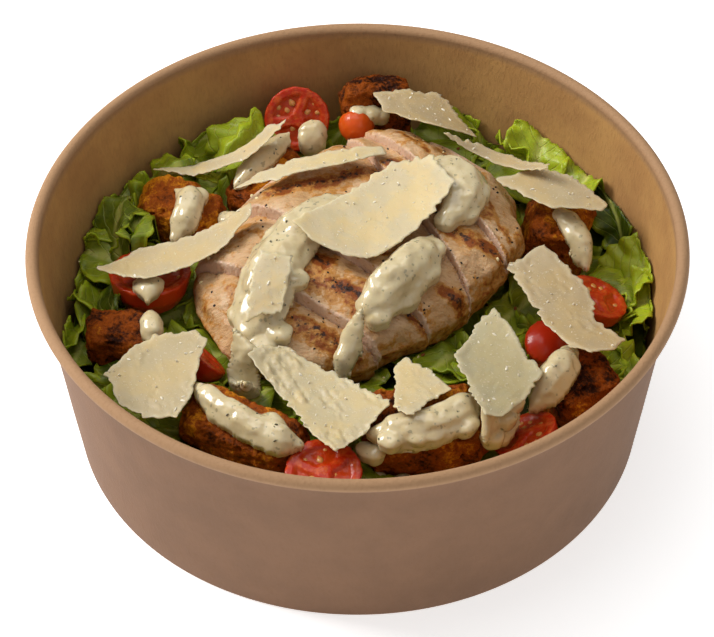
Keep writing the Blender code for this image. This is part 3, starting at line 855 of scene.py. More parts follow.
def chicken_material(chicken):
    """Grilled chicken: pale seared flesh with fibres, moist cut faces, and browned to charred marks."""
    material, tree, shader = new_material(
        "grilled chicken",
        IOR=1.45,
        Subsurface_Weight=0.15,
        Subsurface_Radius=(1.0, 0.45, 0.22),
        Subsurface_Scale=1.2 * MM,
        Specular_IOR_Level=0.4,
        Coat_Weight=0.12,
        Coat_Roughness=0.25,
    )
    cut, seared, charred = (painted(tree, name) for name in ("cut", "seared", "charred"))
    fibres = grain(tree, 2.6, 4.0, 4.0, (1, 3.2, 1))
    clouds = grain(tree, 9.0, 1.0, 4.0)
    pale = blend_colours(tree, between(tree, clouds, 0.35, 0.7), tuple(chicken.flesh), linear("#c0935f"))
    streaks = calculate(tree, "MULTIPLY", between(tree, fibres, 0.45, 0.7), 0.55)
    streaked = blend_colours(tree, streaks, pale, linear("#ad7c48"))
    # Cut faces: their own paler colour, lightened further as painted light against the shade between the slices.
    faced = blend_colours(tree, cut, streaked, tuple(chicken.cut))
    warm = calculate(tree, "ADD", seared, calculate(tree, "MULTIPLY", calculate(tree, "SUBTRACT", grain(tree, 2.2, 6.0, 5.0), 0.5), 2.0))
    golden = blend_colours(tree, between(tree, warm, 0.12, 0.42), faced, linear("#b9803a"))
    darkened = blend_colours(tree, between(tree, warm, 0.42, 0.82), golden, tuple(chicken.brown))
    black = calculate(tree, "ADD", charred, calculate(tree, "MULTIPLY", calculate(tree, "SUBTRACT", grain(tree, 1.5, 8.0, 4.0), 0.5), 2.4))
    marked = blend_colours(tree, between(tree, black, 0.42, 0.82), darkened, tuple(chicken.char))
    tree.links.new(marked, shader.inputs["Base Color"])
    wet = add_node(tree, "ShaderNodeMapRange", {"Value": clouds, "From Min": 0.3, "From Max": 0.7, "To Min": 0.34, "To Max": 0.62})
    tree.links.new(wet.outputs[0], shader.inputs["Roughness"])
    fine = calculate(tree, "ADD", calculate(tree, "MULTIPLY", fibres, 0.7), calculate(tree, "MULTIPLY", grain(tree, 0.8, 9.0, 3.0), 0.5))
    raise_surface(tree, shader, fine, 0.7)
    return material


class SALAD_OT_chicken(bpy.types.Operator):
    """Makes the slices of grilled chicken breast, with their cut faces and grill marks"""

    bl_idname = "salad.chicken"
    bl_label = "Chicken"

    def execute(self, context):
        chicken = context.scene.salad_chicken
        material = chicken_material(chicken)
        for number, node in enumerate(nodes_named("chicken_slice")):
            sides = flat_sides(node)
            mesh = refined(node, 0.6, 2)
            points, normals = points_of(mesh), normals_of(mesh)
            cut = np.zeros(len(points))
            for place, normal in sides:
                near = 1 - ramp(np.abs((points - place) @ normal), 0.7, 1.6)
                cut = np.maximum(cut, near * ramp(normals @ normal, 0.55, 0.85))
            depth = chicken.roughness / MM
            move = depth * (0.9 * lumps(points, 11, 1) + 0.6 * lumps(points, 5, 2) + 0.3 * lumps(points, 2.2, 3))
            move += 0.25 * depth * lumps(points * (0.35, 1, 1), 2.4, 12)
            ends = 0.5 * lumps(points, 3.4, 20 + number)
            move = np.where(cut > 0.5, 0.2 * move + 0.2, move + 0.4 * ends)
            inset = 0.5 * ramp(-normals[:, 2], 0.2, 0.8)
            moved = points + normals * (np.minimum(move, 1.2) - inset)[:, None]
            for place, normal in sides:
                if normal @ (0.5, 0.85, 0) > 0:
                    depth_in = np.abs((points - place) @ normal)
                    top = ramp(points[:, 2], np.median(points[:, 2]), points[:, 2].max() - 4)
                    moved[:, 2] -= 1.7 * (1 - ramp(depth_in, 0, 6)) * top
            place_points(mesh, moved)
            seared, charred = np.zeros(len(points)), np.zeros(len(points))
            wander = points[:, :2] + 1.4 * np.stack([lumps(points, 6, 31), lumps(points, 6, 32)], axis=1)
            for route, width, depth_of in GRILL_MARKS:
                distance = route_distance(wander, route)
                seared = np.maximum(seared, depth_of * (1 - ramp(distance, 0.5 * width, 2.1 * width)))
                charred = np.maximum(charred, (depth_of - 0.15) * (1 - ramp(distance, 0, 1.1 * width)))
            facing = ramp(normals[:, 2], 0.0, 0.5) * (1 - 0.85 * cut)
            rim = 0.45 * ramp(lumps(points, 8, 40), 0.0, 0.6) * (1 - cut)
            low = 0.5 * (1 - ramp(normals[:, 2], 0.1, 0.6)) * (1 - cut)
            paint(mesh, "cut", cut)
            paint(mesh, "seared", np.maximum(seared * facing, np.maximum(rim, low)))
            paint(mesh, "charred", charred * facing)
            finish_piece(node + "_flesh", mesh, material, [node])
        return {"FINISHED"}


# ---------------------------------------------------------------------------------------------
# Croutons
# ---------------------------------------------------------------------------------------------


class Croutons(bpy.types.PropertyGroup):
    roughness: FloatProperty(
        name="Crumb", description="Height of the torn crumb's lumps", default=1.0 * MM, unit="LENGTH", min=0
    )
    toast: FloatVectorProperty(
        name="Toast", description="Colour of the toasted crumb", subtype="COLOR", default=linear("#8f4204"), min=0, max=1
    )
    # Gold colours the tops of the lumps as painted highlight, and the lightest random patches.
    gold: FloatVectorProperty(
        name="Gold", description="Colour of its lighter faces", subtype="COLOR", default=linear("#cc7e10"), min=0, max=1
    )
    # Dark colours the holes as painted shade, and the darkest random patches.
    dark: FloatVectorProperty(
        name="Dark", description="Colour of its darkest corners and holes", subtype="COLOR", default=linear("#2a0c00"), min=0, max=1
    )


# How much lighter or darker than the rest some croutons are fried.
FRIED = {
    "crouton_back": -1.2,
    "crouton_left_front": -0.8,
    "crouton_right_front": -0.6,
    "crouton_left_back": 0.6,
    "crouton_right_back": 0.3,
    "crouton_front_left": 0.3,
}


def crouton_material(croutons):
    """Fried bread: a dry brown crumb, oiled, with painted highlight golden on its lumps and painted shade near black in
    its holes.
    """
    material, tree, shader = new_material(
        "toasted bread", Roughness=0.55, IOR=1.46, Specular_IOR_Level=0.15
    )
    # This raises the colour to gold on the tops of the lumps and lowers it to near black in the holes: painted
    # highlight and painted shade, shifted by each crouton's fry level.
    height = painted(tree, "relief_light_and_fry")
    patches = between(tree, grain(tree, 9.0, 3.0, 4.0), 0.3, 0.7)
    speckle = grain(tree, 0.8, 8.0, 5.0)
    share = calculate(tree, "ADD", calculate(tree, "MULTIPLY", height, 0.22), calculate(tree, "MULTIPLY", patches, 0.75))
    toned = calculate(tree, "ADD", share, calculate(tree, "MULTIPLY", calculate(tree, "SUBTRACT", speckle, 0.5), 1.1))
    brown = blend_colours(tree, between(tree, toned, -0.18, 0.34), tuple(croutons.dark), tuple(croutons.toast))
    golden = blend_colours(tree, between(tree, toned, 0.40, 0.85), brown, tuple(croutons.gold))
    tree.links.new(golden, shader.inputs["Base Color"])
    fine = calculate(tree, "ADD", speckle, calculate(tree, "MULTIPLY", grain(tree, 2.2, 5.0, 4.0), 1.2))
    raise_surface(tree, shader, fine, 0.7)
    return material


class SALAD_OT_croutons(bpy.types.Operator):
    """Makes the croutons, torn and fried"""

    bl_idname = "salad.croutons"
    bl_label = "Croutons"

    def execute(self, context):
        croutons = context.scene.salad_croutons
        material = crouton_material(croutons)
        for number, node in enumerate(nodes_named("crouton")):
            mesh = refined(node, 0.5, 2)
            points, normals = points_of(mesh), normals_of(mesh)
            seed = 50 + 7 * number
            height = croutons.roughness / MM
            coarse = 0.9 * lumps(points, 6.5, seed) + 0.45 * lumps(points, 3.0, seed + 1)
            fine = 0.5 * lumps(points, 1.4, seed + 2)
            holes = -0.8 * ramp(lumps(points, 1.9, seed + 3), 0.42, 0.7)
            move = height * (coarse + fine + holes) - 0.1
            place_points(mesh, points + normals * np.clip(move, -2.4, 1.1)[:, None])
            # The surface height, as painted highlight on the lumps and painted shade in the holes, plus the crouton's
            # fry level.
            paint(mesh, "relief_light_and_fry", move + FRIED.get(node, 0.0))
            finish_piece(node + "_bread", mesh, material, [node])
        return {"FINISHED"}


# ---------------------------------------------------------------------------------------------
# Tomatoes: halves, cut face and skin
# ---------------------------------------------------------------------------------------------


class TomatoHalves(bpy.types.PropertyGroup):
    wall: FloatProperty(
        name="Wall", description="Thickness of the flesh under the skin", default=2.6 * MM, unit="LENGTH", min=0.5 * MM
    )
    skin: FloatVectorProperty(
        name="Skin", description="Colour of the skin", subtype="COLOR", default=linear("#b3240c"), min=0, max=1
    )
    flesh: FloatVectorProperty(
        name="Flesh", description="Colour of the cut wall", subtype="COLOR", default=linear("#b52804"), min=0, max=1
    )
    gel: FloatVectorProperty(
        name="Gel", description="Colour of the seed pockets", subtype="COLOR", default=linear("#b03404"), min=0, max=1
    )
    seed: FloatVectorProperty(
        name="Seeds", description="Colour of the seeds", subtype="COLOR", default=linear("#c27a3a"), min=0, max=1
    )


# These lie skin upwards, so their inner side doesn't show.
WHOLE_TOMATOES = ("tomato_right_low", "tomato_back")

# How ripe each tomato is: 0 is deep red and 1 is orange.
RIPENESS = {"tomato_back_left": 0.05, "tomato_back": 0.7, "tomato_right": 0.3, "tomato_left": 0.25}


def tomato_material(tomatoes):
    """Cherry tomato: a glossy translucent skin, with the wet flesh, gel and seeds of its cut face."""
    material, tree, shader = new_material(
        "cherry tomato",
        IOR=1.4,
        Subsurface_Weight=0.15,
        Subsurface_Radius=(1.0, 0.2, 0.08),
        Subsurface_Scale=1.8 * MM,
        Coat_Weight=0.25,
        Coat_Roughness=0.08,
        Roughness=0.3,
        Specular_IOR_Level=0.3,
    )
    inside, pocket, orange = (painted(tree, name) for name in ("inside", "pocket", "orange"))
    clouds = grain(tree, 7.0, 1.0, 3.0)
    ripe = blend_colours(tree, orange, tuple(tomatoes.skin), linear("#cf5a12"))
    skin = blend_colours(tree, calculate(tree, "MULTIPLY", between(tree, clouds, 0.4, 0.75), 0.35), ripe, linear("#c94a1c"))
    fleshy = blend_colours(tree, between(tree, grain(tree, 1.8, 4.0, 3.0), 0.4, 0.7), tuple(tomatoes.flesh), linear("#c9551f"))
    faced = blend_colours(tree, inside, skin, fleshy)
    gelled = blend_colours(tree, pocket, faced, tuple(tomatoes.gel))
    tree.links.new(gelled, shader.inputs["Base Color"])
    fine = calculate(tree, "MULTIPLY", grain(tree, 1.2, 6.0, 3.0), calculate(tree, "ADD", inside, 0.04))
    raise_surface(tree, shader, fine, 0.25)
    return material


def seed_material(tomatoes):
    """Tomato seeds: small, flat and pale, in a skin of gel."""
    material, tree, shader = new_material(
        "tomato seed", Roughness=0.3, IOR=1.4, Subsurface_Weight=0.3, Subsurface_Scale=0.8 * MM, Coat_Weight=0.4
    )
    pale = blend_colours(tree, grain(tree, 1.2, 2.0, 2.0), tuple(tomatoes.seed), linear("#cf9550"))
    tree.links.new(pale, shader.inputs["Base Color"])
    return material


def seed_points(centre, along, across, up, length):
    """A drop-shaped seed of a few dozen faces, lying in a plane: points and faces."""
    rings, steps = 5, 8
    points, faces = [centre - along * length * 0.5], []
    for ring in range(rings):
        t = (ring + 0.7) / (rings + 0.6)
        radius = 0.36 * length * math.sin(math.pi * t**0.75)
        for step in range(steps):
            angle = 2 * math.pi * step / steps
            side = across * math.cos(angle) + up * 0.45 * math.sin(angle)
            points.append(centre + along * length * (t - 0.5) + side * radius)
    points.append(centre + along * length * 0.5)
    for step in range(steps):
        after = (step + 1) % steps
        faces.append((0, 1 + after, 1 + step))
        for ring in range(rings - 1):
            a, b = 1 + ring * steps, 1 + (ring + 1) * steps
            faces.append((a + step, a + after, b + after, b + step))
        faces.append((len(points) - 1, 1 + (rings - 1) * steps + step, 1 + (rings - 1) * steps + after))
    return points, faces


def cut_face(node):
    """The node's largest plane face: its middle, normal and radius."""
    bm = frame_solid(node)
    best = {}
    for face in bm.faces:
        key = tuple(round(v, 2) for v in face.normal)
        best.setdefault(key, []).append(face)
    faces = max(best.values(), key=lambda group: sum(face.calc_area() for face in group))
    area = sum(face.calc_area() for face in faces)
    centre = sum((face.calc_center_median() * face.calc_area() for face in faces), Vector()) / area
    normal = faces[0].normal.copy()
    bm.free()
    return np.array(centre), np.array(normal), math.sqrt(area / math.pi)


class SALAD_OT_tomatoes(bpy.types.Operator):
    """Makes the halved cherry tomatoes, with their seed pockets and seeds"""

    bl_idname = "salad.tomatoes"
    bl_label = "Tomatoes"

    def execute(self, context):
        tomatoes = context.scene.salad_tomatoes
        material = tomato_material(tomatoes)
        wall = tomatoes.wall / MM
        seed_parts, seed_faces = [], []
        for number, node in enumerate(nodes_named("tomato")):
            rng = np.random.default_rng(70 + number)
            centre, normal, radius = cut_face(node)
            side = np.cross(normal, (0.3, 0.2, 1.0) if abs(normal[2]) < 0.9 else (1.0, 0.2, 0.0))
            side /= np.linalg.norm(side)
            other = np.cross(normal, side)
            mesh = refined(node, 0.5, 4)
            points, normals = points_of(mesh), normals_of(mesh)
            whole = node in WHOLE_TOMATOES
            apart = points - centre
            flat = np.stack([apart @ side, apart @ other], axis=1)
            reach = np.linalg.norm(flat, axis=1) / radius
            on_face = (1 - ramp(np.abs(apart @ normal), 0.5, 1.1)) * ramp(normals @ normal, 0.5, 0.85)
            turn = rng.uniform(0, 6.28)
            angle = np.arctan2(flat[:, 1], flat[:, 0]) + turn + 0.25 * lumps(points, 7, number)
            septum = np.abs(np.mod(angle / (2 * math.pi) * 3 + 0.5, 1) - 0.5) * 2 * math.pi / 3 * reach * radius
            core = 1 - wall / radius
            pocket = ramp(septum, 0.9, 1.9) * (1 - ramp(reach, core - 0.08, core + 0.04)) * ramp(reach, 0.16, 0.32)
            pocket = pocket * on_face * (not whole)
            bulge = 3.2 * np.maximum(0, 1 - reach**2) * ramp(apart @ normal, -2.5, 0) * whole
            on_face = on_face * (not whole)
            dip = bulge - 0.9 * pocket * (0.8 + 0.3 * lumps(points, 2.4, 5)) + 0.10 * on_face * lumps(points, 2.0, 6)
            skin = (0.25 * lumps(points, 9, 7) - 0.1) * (1 - on_face)
            place_points(mesh, points + normal * dip[:, None] + normals * skin[:, None])
            paint(mesh, "inside", on_face * (1 - ramp(reach, 0.93, 0.99)))
            paint(mesh, "pocket", pocket)
            paint(mesh, "orange", np.full(len(points), RIPENESS.get(node, 0.05)))
            finish_piece(node + "_half", mesh, material, [node])
            spots = []
            for _ in range(220):
                t, r = rng.uniform(0, 6.28), radius * rng.uniform(0.3, core)
                turned = t + turn
                gap = abs(((turned / (2 * math.pi) * 3 + 0.5) % 1) - 0.5) * 2 * math.pi / 3 * r
                spot = np.array([math.cos(t), math.sin(t)]) * r
                if gap > 1.7 and all(np.linalg.norm(spot - other_spot) > 2.3 for other_spot in spots):
                    spots.append(spot)
            for spot in [] if whole else spots[:11]:
                place = centre + side * spot[0] + other * spot[1] - normal * rng.uniform(0.75, 1.1)
                spin = math.atan2(spot[1], spot[0]) + rng.uniform(-0.7, 0.7)
                along = side * math.cos(spin) + other * math.sin(spin)
                across = np.cross(normal, along)
                points_of_seed, faces = seed_points(place, along, across, normal, rng.uniform(2.2, 2.9))
                start = len(seed_parts)
                seed_parts += list(points_of_seed)
                seed_faces += [tuple(k + start for k in face) for face in faces]
        mesh = new_mesh("tomato_seeds", seed_parts, seed_faces)
        mesh.shade_smooth()
        finish_piece("tomato_seeds", mesh, seed_material(tomatoes))
        return {"FINISHED"}


# ---------------------------------------------------------------------------------------------
# Dressing
# ---------------------------------------------------------------------------------------------


class CaesarDressing(bpy.types.PropertyGroup):
    sink: FloatProperty(
        name="Sink", description="How far it sinks into what lies below", default=1.2 * MM, unit="LENGTH", min=0
    )
    cream: FloatVectorProperty(
        name="Cream", description="Colour of the dressing", subtype="COLOR", default=linear("#d8c8a0"), min=0, max=1
    )
    herb: FloatVectorProperty(
        name="Herbs", description="Colour of its flecks of herb and pepper", subtype="COLOR", default=linear("#5f6250"), min=0, max=1
    )


# Lobes of dressing: those that thicken a trail, and small dabs of their own. Each is x, y and radius,
# and lies on what is below it, unless its height follows.
DRESSING_LOBES = {
    "dressing_left_trail": [(-31, -19, 4.2), (-26.5, -20.5, 4.6), (-21.5, -18, 3.8), (-17, -4, 3.6), (-33, -10, 3.6)],
    "dressing_right_blob": [(20.5, 6.5, 4.2), (18.5, -1, 4.8), (13, -8.5, 4.4), (5.5, -14.5, 4.2), (2.5, -12.5, 3.4)],
    "dressing_back_blob": [(21, 33, 4.8), (28, 30, 5.2), (34, 27, 4.2), (31, 20, 4.0), (25, 16, 3.4)],
    "dressing_teardrop": [(-1.6, -20.5, 2.6), (-4, -23, 1.9)],
    "dressing_front_left": [(-38.5, -47, 3.0), (-30, -51, 3.8), (-24, -53, 4.4)],
    "dressing_front": [
        (5, -60, 3.6), (8.5, -60, 3.7, 48.6), (12, -61.5, 3.8), (16, -58.5, 3.7, 48.8), (20, -58, 3.6, 49), (29, -54, 3.8)
    ],
    "dressing_right_front": [(50, -41, 4.0), (54, -34, 3.6), (58, -28, 3.0)],
    "dressing_front_right": [(36, -55, 3.4, 45), (39.5, -51, 3.4, 48), (42, -47.5, 3.0, 50)],
    "dressing_left_back": [(-45.5, 38.5, 2.8), (-48.5, 36, 3.0), (-52.5, 27.5, 2.8)],
    "dressing_back_left": [(-22, 62, 2.8), (-25, 58.5, 3.0), (-29.5, 53.5, 2.8), (-33.5, 47.5, 2.4)],
    "dressing_right_back": [(58.5, 28, 2.6), (61.5, 22, 2.8), (63.5, 16.5, 3.0)],
    "dab_by_back_crouton": [(0.5, 69, 2.4, 50.5), (4, 69.5, 2.8, 49.5), (7.5, 70, 2.2, 48.5)],
    "dab_by_left_crouton": [(-38, 33, 2.0, 42), (-35.5, 32, 2.2, 43)],
    "dab_under_front_shaving": [(2, -57.5, 2.8, 42), (4.5, -58.5, 2.8, 42)],
}


def dressing_material(dressing):
    """Caesar dressing: thick glossy cream of egg and oil, with flecks of herb and pepper in it."""
    material, tree, shader = new_material(
        "caesar dressing",
        Roughness=0.17,
        IOR=1.45,
        Subsurface_Weight=0.5,
        Subsurface_Radius=(1.0, 0.8, 0.5),
        Subsurface_Scale=1.5 * MM,
        Coat_Weight=0.5,
        Coat_Roughness=0.06,
    )
    clouds = grain(tree, 6.0, 2.0, 3.0)
    cream = blend_colours(tree, between(tree, clouds, 0.35, 0.7), tuple(dressing.cream), linear("#c8b58a"))
    flecks = between(tree, grain(tree, 1.5, 5.0, 1.0), 0.64, 0.72)
    dotted = blend_colours(tree, calculate(tree, "MULTIPLY", flecks, 0.45), cream, tuple(dressing.herb))
    tree.links.new(dotted, shader.inputs["Base Color"])
    raise_surface(tree, shader, grain(tree, 3.0, 6.0, 2.0), 0.12)
    return material


def mean_thickness(mesh):
    """Twice the mesh's volume over its area, in millimetres."""
    bm = bmesh.new()
    bm.from_mesh(mesh)
    thickness = 2 * abs(bm.calc_volume()) / sum(face.calc_area() for face in bm.faces) / MM
    bm.free()
    return thickness


class SALAD_OT_dressing(bpy.types.Operator):
    """Makes the trails and pools of dressing"""

    bl_idname = "salad.dressing"
    bl_label = "Dressing"

    def execute(self, context):
        dressing = context.scene.salad_dressing
        material = dressing_material(dressing)
        sink = dressing.sink / MM
        above = frame_tree(nodes_named("shaving"))
        below = frame_tree([n for n in frame["nodes"] if not n.startswith(("dressing", "shaving"))])
        for number, node in enumerate(sorted({*nodes_named("dressing"), *DRESSING_LOBES})):
            lobes = []
            for x, y, radius, *level in DRESSING_LOBES.get(node, []):
                ground = below.ray_cast(Vector((x, y, 200)), Vector((0, 0, -1)))[0].z
                height = level[0] if level else ground + 0.3 * radius
                lobes.append((Vector((x, y, height)), radius))
            mesh = refined(node, 0.42, 18, lobes)
            points, normals = points_of(mesh), normals_of(mesh)
            plump = 0.5 * max(0.0, 2.2 - mean_thickness(mesh))
            move = plump + 0.55 * lumps(points, 5.5, 90 + number) + 0.3 * lumps(points, 2.6, 91 + number)
            moved = points + normals * (move + 0.35 * ramp(normals[:, 2], 0.0, 0.6))[:, None]
            moved[:, 2] -= sink * ramp(-normals[:, 2], 0.1, 0.7)
            for point, old in zip(moved, points):
                hit = above.ray_cast(Vector(old), Vector((0, 0, 1)), 3.0)[0]
                if hit is not None:
                    point[2] = min(point[2], hit.z - 0.5)
            place_points(mesh, moved)
            finish_piece(node + "_cream", mesh, material, [node] if node in frame["nodes"] else [])
        return {"FINISHED"}


# ---------------------------------------------------------------------------------------------
# Parmesan shavings
# ---------------------------------------------------------------------------------------------


class ParmesanShavings(bpy.types.PropertyGroup):
    thickness: FloatProperty(
        name="Thickness", description="Thickness of a shaving at its middle", default=1.25 * MM, unit="LENGTH", min=0.2 * MM
    )
    ridge: FloatProperty(
        name="Ridges", description="Height of the ridges that the plane leaves", default=0.28 * MM, unit="LENGTH", min=0
    )
    cheese: FloatVectorProperty(
        name="Cheese", description="Colour of the cheese", subtype="COLOR", default=linear("#d9c290"), min=0, max=1
    )
    pale: FloatVectorProperty(
        name="Crystals", description="Colour of its white grains", subtype="COLOR", default=linear("#e6dcc0"), min=0, max=1
    )


# How each shaving differs: the way its ridges run (degrees), their strength, how grey it is, and
# how dark it is painted, as painted shade on the shavings that lie in shade, most of all on the right.
SHAVING_LOOK = {
    "shaving_front_left": (25, 1.7, 0.25, 0.1),
    "shaving_front": (25, 0.5, 0.1, 0.1),
    "shaving_right": (35, 0.7, 0.1, 0.5),
    "shaving_front_right": (-25, 0.3, 0.55, 0.05),
    "shaving_centre": (60, 0.15, 0.0, 0.0),
    "shaving_trail": (40, 0.4, 0.0, 0.0),
    "shaving_left": (10, 0.3, 0.1, 0.25),
    "shaving_left_front": (10, 0.6, 0.25, 0.25),
    "shaving_far_left": (10, 0.3, 0.0, 0.2),
    "shaving_back_right": (20, 0.3, 0.1, 0.5),
    "shaving_right_back": (70, 0.3, 0.1, 0.35),
    "shaving_far_right": (70, 0.3, 0.0, 0.4),
}


# How far a shaving is lifted off the cream below it, and how steeply its far edge is lifted more.
SHAVING_LEAN = {"shaving_trail": (0.9, 0.0), "shaving_far_right": (0.3, 0.55)}


def cheese_material(parmesan):
    """Parmesan: dense ivory cheese with white grains, a little light showing through its edges."""
    material, tree, shader = new_material(
        "parmesan cheese",
        Roughness=0.45,
        IOR=1.45,
        Subsurface_Weight=0.4,
        Subsurface_Radius=(1.0, 0.75, 0.4),
        Subsurface_Scale=1.6 * MM,
    )
    clouds = grain(tree, 11.0, 3.0, 3.0)
    grains = between(tree, grain(tree, 0.8, 6.0, 2.0), 0.6, 0.72)
    body = blend_colours(tree, between(tree, clouds, 0.4, 0.6), tuple(parmesan.cheese), linear("#cfbe98"))
    dulled = blend_colours(tree, painted(tree, "grey"), body, linear("#8f8c6c"))
    # Painted shade: a shaving that lies in shade is darkened by its 'dark' share.
    darkened = blend_colours(tree, painted(tree, "dark"), dulled, linear("#94764d"))
    # The ragged edges are painted paler: a painted highlight for light showing through the thin edge.
    edge_lit = blend_colours(tree, calculate(tree, "MULTIPLY", painted(tree, "edge"), 0.3), darkened, linear("#ddd0b2"))
    speckled = blend_colours(tree, calculate(tree, "MULTIPLY", grains, 0.5), edge_lit, tuple(parmesan.pale))
    tree.links.new(speckled, shader.inputs["Base Color"])
    raise_surface(tree, shader, calculate(tree, "ADD", grains, grain(tree, 2.5, 2.0, 2.0)), 0.1)
    return material


def sheet_outline(node):
    """The outline of a shaving's upper face, in order, and the points of that face."""
    bm = frame_solid(node)
    bmesh.ops.recalc_face_normals(bm, faces=bm.faces)
    upper = {face for face in bm.faces if face.normal.z > 0.3}
    after = {}
    for face in upper:
        for loop in face.loops:
            if sum(other in upper for other in loop.edge.link_faces) == 1:
                after.setdefault(loop.vert, []).append(loop.link_loop_next.vert)
    outlines = []
    while after:
        outline = [next(iter(after))]
        while outline[-1] in after:
            ways = after[outline[-1]]
            outline.append(ways.pop())
            if not ways:
                del after[outline[-2]]
        outlines.append(outline[:-1])
    longest = np.array([tuple(vert.co) for vert in max(outlines, key=len)])
    surface = np.array([tuple(vert.co) for vert in {vert for face in upper for vert in face.verts}])
    bm.free()
    return longest, surface


def shaving_mesh(node, thickness, ridge):
    """A shaving as two close sheets joined at a ragged edge, bent as the node is."""
    outline, surface = sheet_outline(node)
    seed = sum(map(ord, node))
    angle, strength, grey, dark = SHAVING_LOOK.get(node, (seed % 90, 0.3, 0.1, 0.0))
    fine = []
    for here, after in zip(outline, np.roll(outline, -1, axis=0)):
        count = max(1, int(np.linalg.norm((after - here)[:2]) / 0.45))
        fine += [here + (after - here) * k / count for k in range(count)]
    fine = np.array(fine)[:, :2]
    middle = fine.mean(axis=0)
    run = np.roll(fine, -1, axis=0) - np.roll(fine, 1, axis=0)
    out = np.stack([run[:, 1], -run[:, 0]], axis=1)
    out /= np.linalg.norm(out, axis=1)[:, None] + 1e-9
    if np.sum(out * (fine - middle)) < 0:
        out = -out
    tall = np.column_stack([fine, np.zeros(len(fine))])
    rough = ramp(lumps(tall, 12, seed + 2), -0.2, 0.4)
    ragged = 0.7 * lumps(tall, 4.0, seed) + (0.3 + 0.9 * rough) * (lumps(tall, 1.9, seed + 1) + 0.6 * lumps(tall, 1.1, seed + 9))
    fine = fine + out * ragged[:, None]
    low, high = fine.min(axis=0), fine.max(axis=0)
    grid = np.stack(np.meshgrid(np.arange(low[0], high[0], 0.5), np.arange(low[1], high[1], 0.5)), axis=-1)
    grid = grid.reshape(-1, 2) + 0.09 * np.random.default_rng(seed).standard_normal((grid.size // 2, 2))
    edge_gap = np.min(np.linalg.norm(grid[:, None] - fine[None], axis=2), axis=1)
    wind = np.zeros(len(grid), bool)
    for (x0, y0), (x1, y1) in zip(fine, np.roll(fine, -1, axis=0)):
        crosses = (y0 > grid[:, 1]) != (y1 > grid[:, 1])
        wind ^= crosses & (grid[:, 0] < x0 + (grid[:, 1] - y0) * (x1 - x0) / (y1 - y0 + 1e-12))
    inner = grid[wind & (edge_gap > 0.4)]
    flat = np.concatenate([fine, inner])
    result = geometry.delaunay_2d_cdt(
        [Vector(p) for p in flat], [], [list(range(len(fine)))], 1, 1e-5
    )
    flat = np.array([tuple(p) for p in result[0]])
    triangles = np.array([f for f in result[2] if len(f) == 3])

    def basis(at):
        x, y = (at - middle).T / 20
        return np.stack([np.ones_like(x), x, y, x * x, x * y, y * y, x**3, y**3, x * x * y, x * y * y], axis=1)

    shape = basis(surface[:, :2])
    stiffness = np.diag([0] * 3 + [0.03] * (shape.shape[1] - 3))
    fit = np.linalg.solve(shape.T @ shape + stiffness, shape.T @ surface[:, 2])
    height = basis(flat) @ fit
    gap = np.min(np.linalg.norm(flat[:, None] - fine[None], axis=2), axis=1)
    tall = np.column_stack([flat, np.zeros(len(flat))])
    cos, sin = math.cos(math.radians(angle)), math.sin(math.radians(angle))
    drawn = np.column_stack([flat @ (cos, sin), 0.45 * flat @ (-sin, cos), np.zeros(len(flat))])
    lines = 1.6 * lumps(drawn, 1.9, seed + 3) + 1.2 * lumps(drawn, 1.0, seed + 4)
    broken = ramp(lumps(drawn, 5.0, seed + 8), -0.3, 0.3)
    relief = ridge * strength * lines * broken + 0.3 * lumps(tall, 6, seed + 5) + 0.04 * lumps(tall, 1.6, seed + 6)
    curl = 0.6 * (1 - ramp(gap, 0, 3.5)) * lumps(tall, 9, seed + 7)
    thin = thickness * (0.22 + 0.78 * ramp(gap, 0.0, 3.0))
    lift, lean = SHAVING_LEAN.get(node, (0.0, 0.0))
    height += lift + lean * (flat - middle) @ (0.316, 0.949)
    top = height + relief * ramp(gap, 0, 0.8) + curl - 0.2
    count = len(flat)
    points = np.concatenate([np.column_stack([flat, top]), np.column_stack([flat, top - thin])])
    sides = {}
    for a, b, c in triangles:
        for start, end in ((a, b), (b, c), (c, a)):
            sides[(start, end)] = True
    rim = [(start, end) for start, end in sides if (end, start) not in sides]
    faces = [tuple(t) for t in triangles] + [tuple(t[::-1] + count) for t in triangles]
    faces += [(end, start, start + count, end + count) for start, end in rim]
    mesh = new_mesh(node, points, faces)
    bm = bmesh.new()
    bm.from_mesh(mesh)
    bmesh.ops.recalc_face_normals(bm, faces=bm.faces)
    bm.to_mesh(mesh)
    bm.free()
    # Where the painted edge highlight lies.
    paint(mesh, "edge", np.tile(1 - ramp(gap, 0.2, 1.8), 2))
    paint(mesh, "grey", np.full(2 * count, grey))
    # Each shaving's painted shade.
    paint(mesh, "dark", np.full(2 * count, dark))
    mesh.shade_smooth()
    return mesh


class SALAD_OT_parmesan(bpy.types.Operator):
    """Makes the shavings of parmesan"""

    bl_idname = "salad.parmesan"
    bl_label = "Parmesan"

    def execute(self, context):
        parmesan = context.scene.salad_parmesan
        material = cheese_material(parmesan)
        for node in nodes_named("shaving"):
            mesh = shaving_mesh(node, parmesan.thickness / MM, parmesan.ridge / MM)
            finish_piece(node + "_cheese", mesh, material, [node])
        return {"FINISHED"}


# ---------------------------------------------------------------------------------------------
# Small things: pepper, crumbs and crumbled cheese
# ---------------------------------------------------------------------------------------------


class SmallThings(bpy.types.PropertyGroup):
    seed: IntProperty(name="Seed", description="Changes where the flecks and crumbs fall", default=3, min=0)
    crumbs: FloatProperty(
        name="Crumbs", description="Crumbs of bread to a square centimetre of leaf", default=0.35, min=0, max=20
    )
    grains: FloatProperty(
        name="Cheese crumbs", description="Crumbs of cheese to a square centimetre of chicken", default=0.5, min=0, max=20
    )


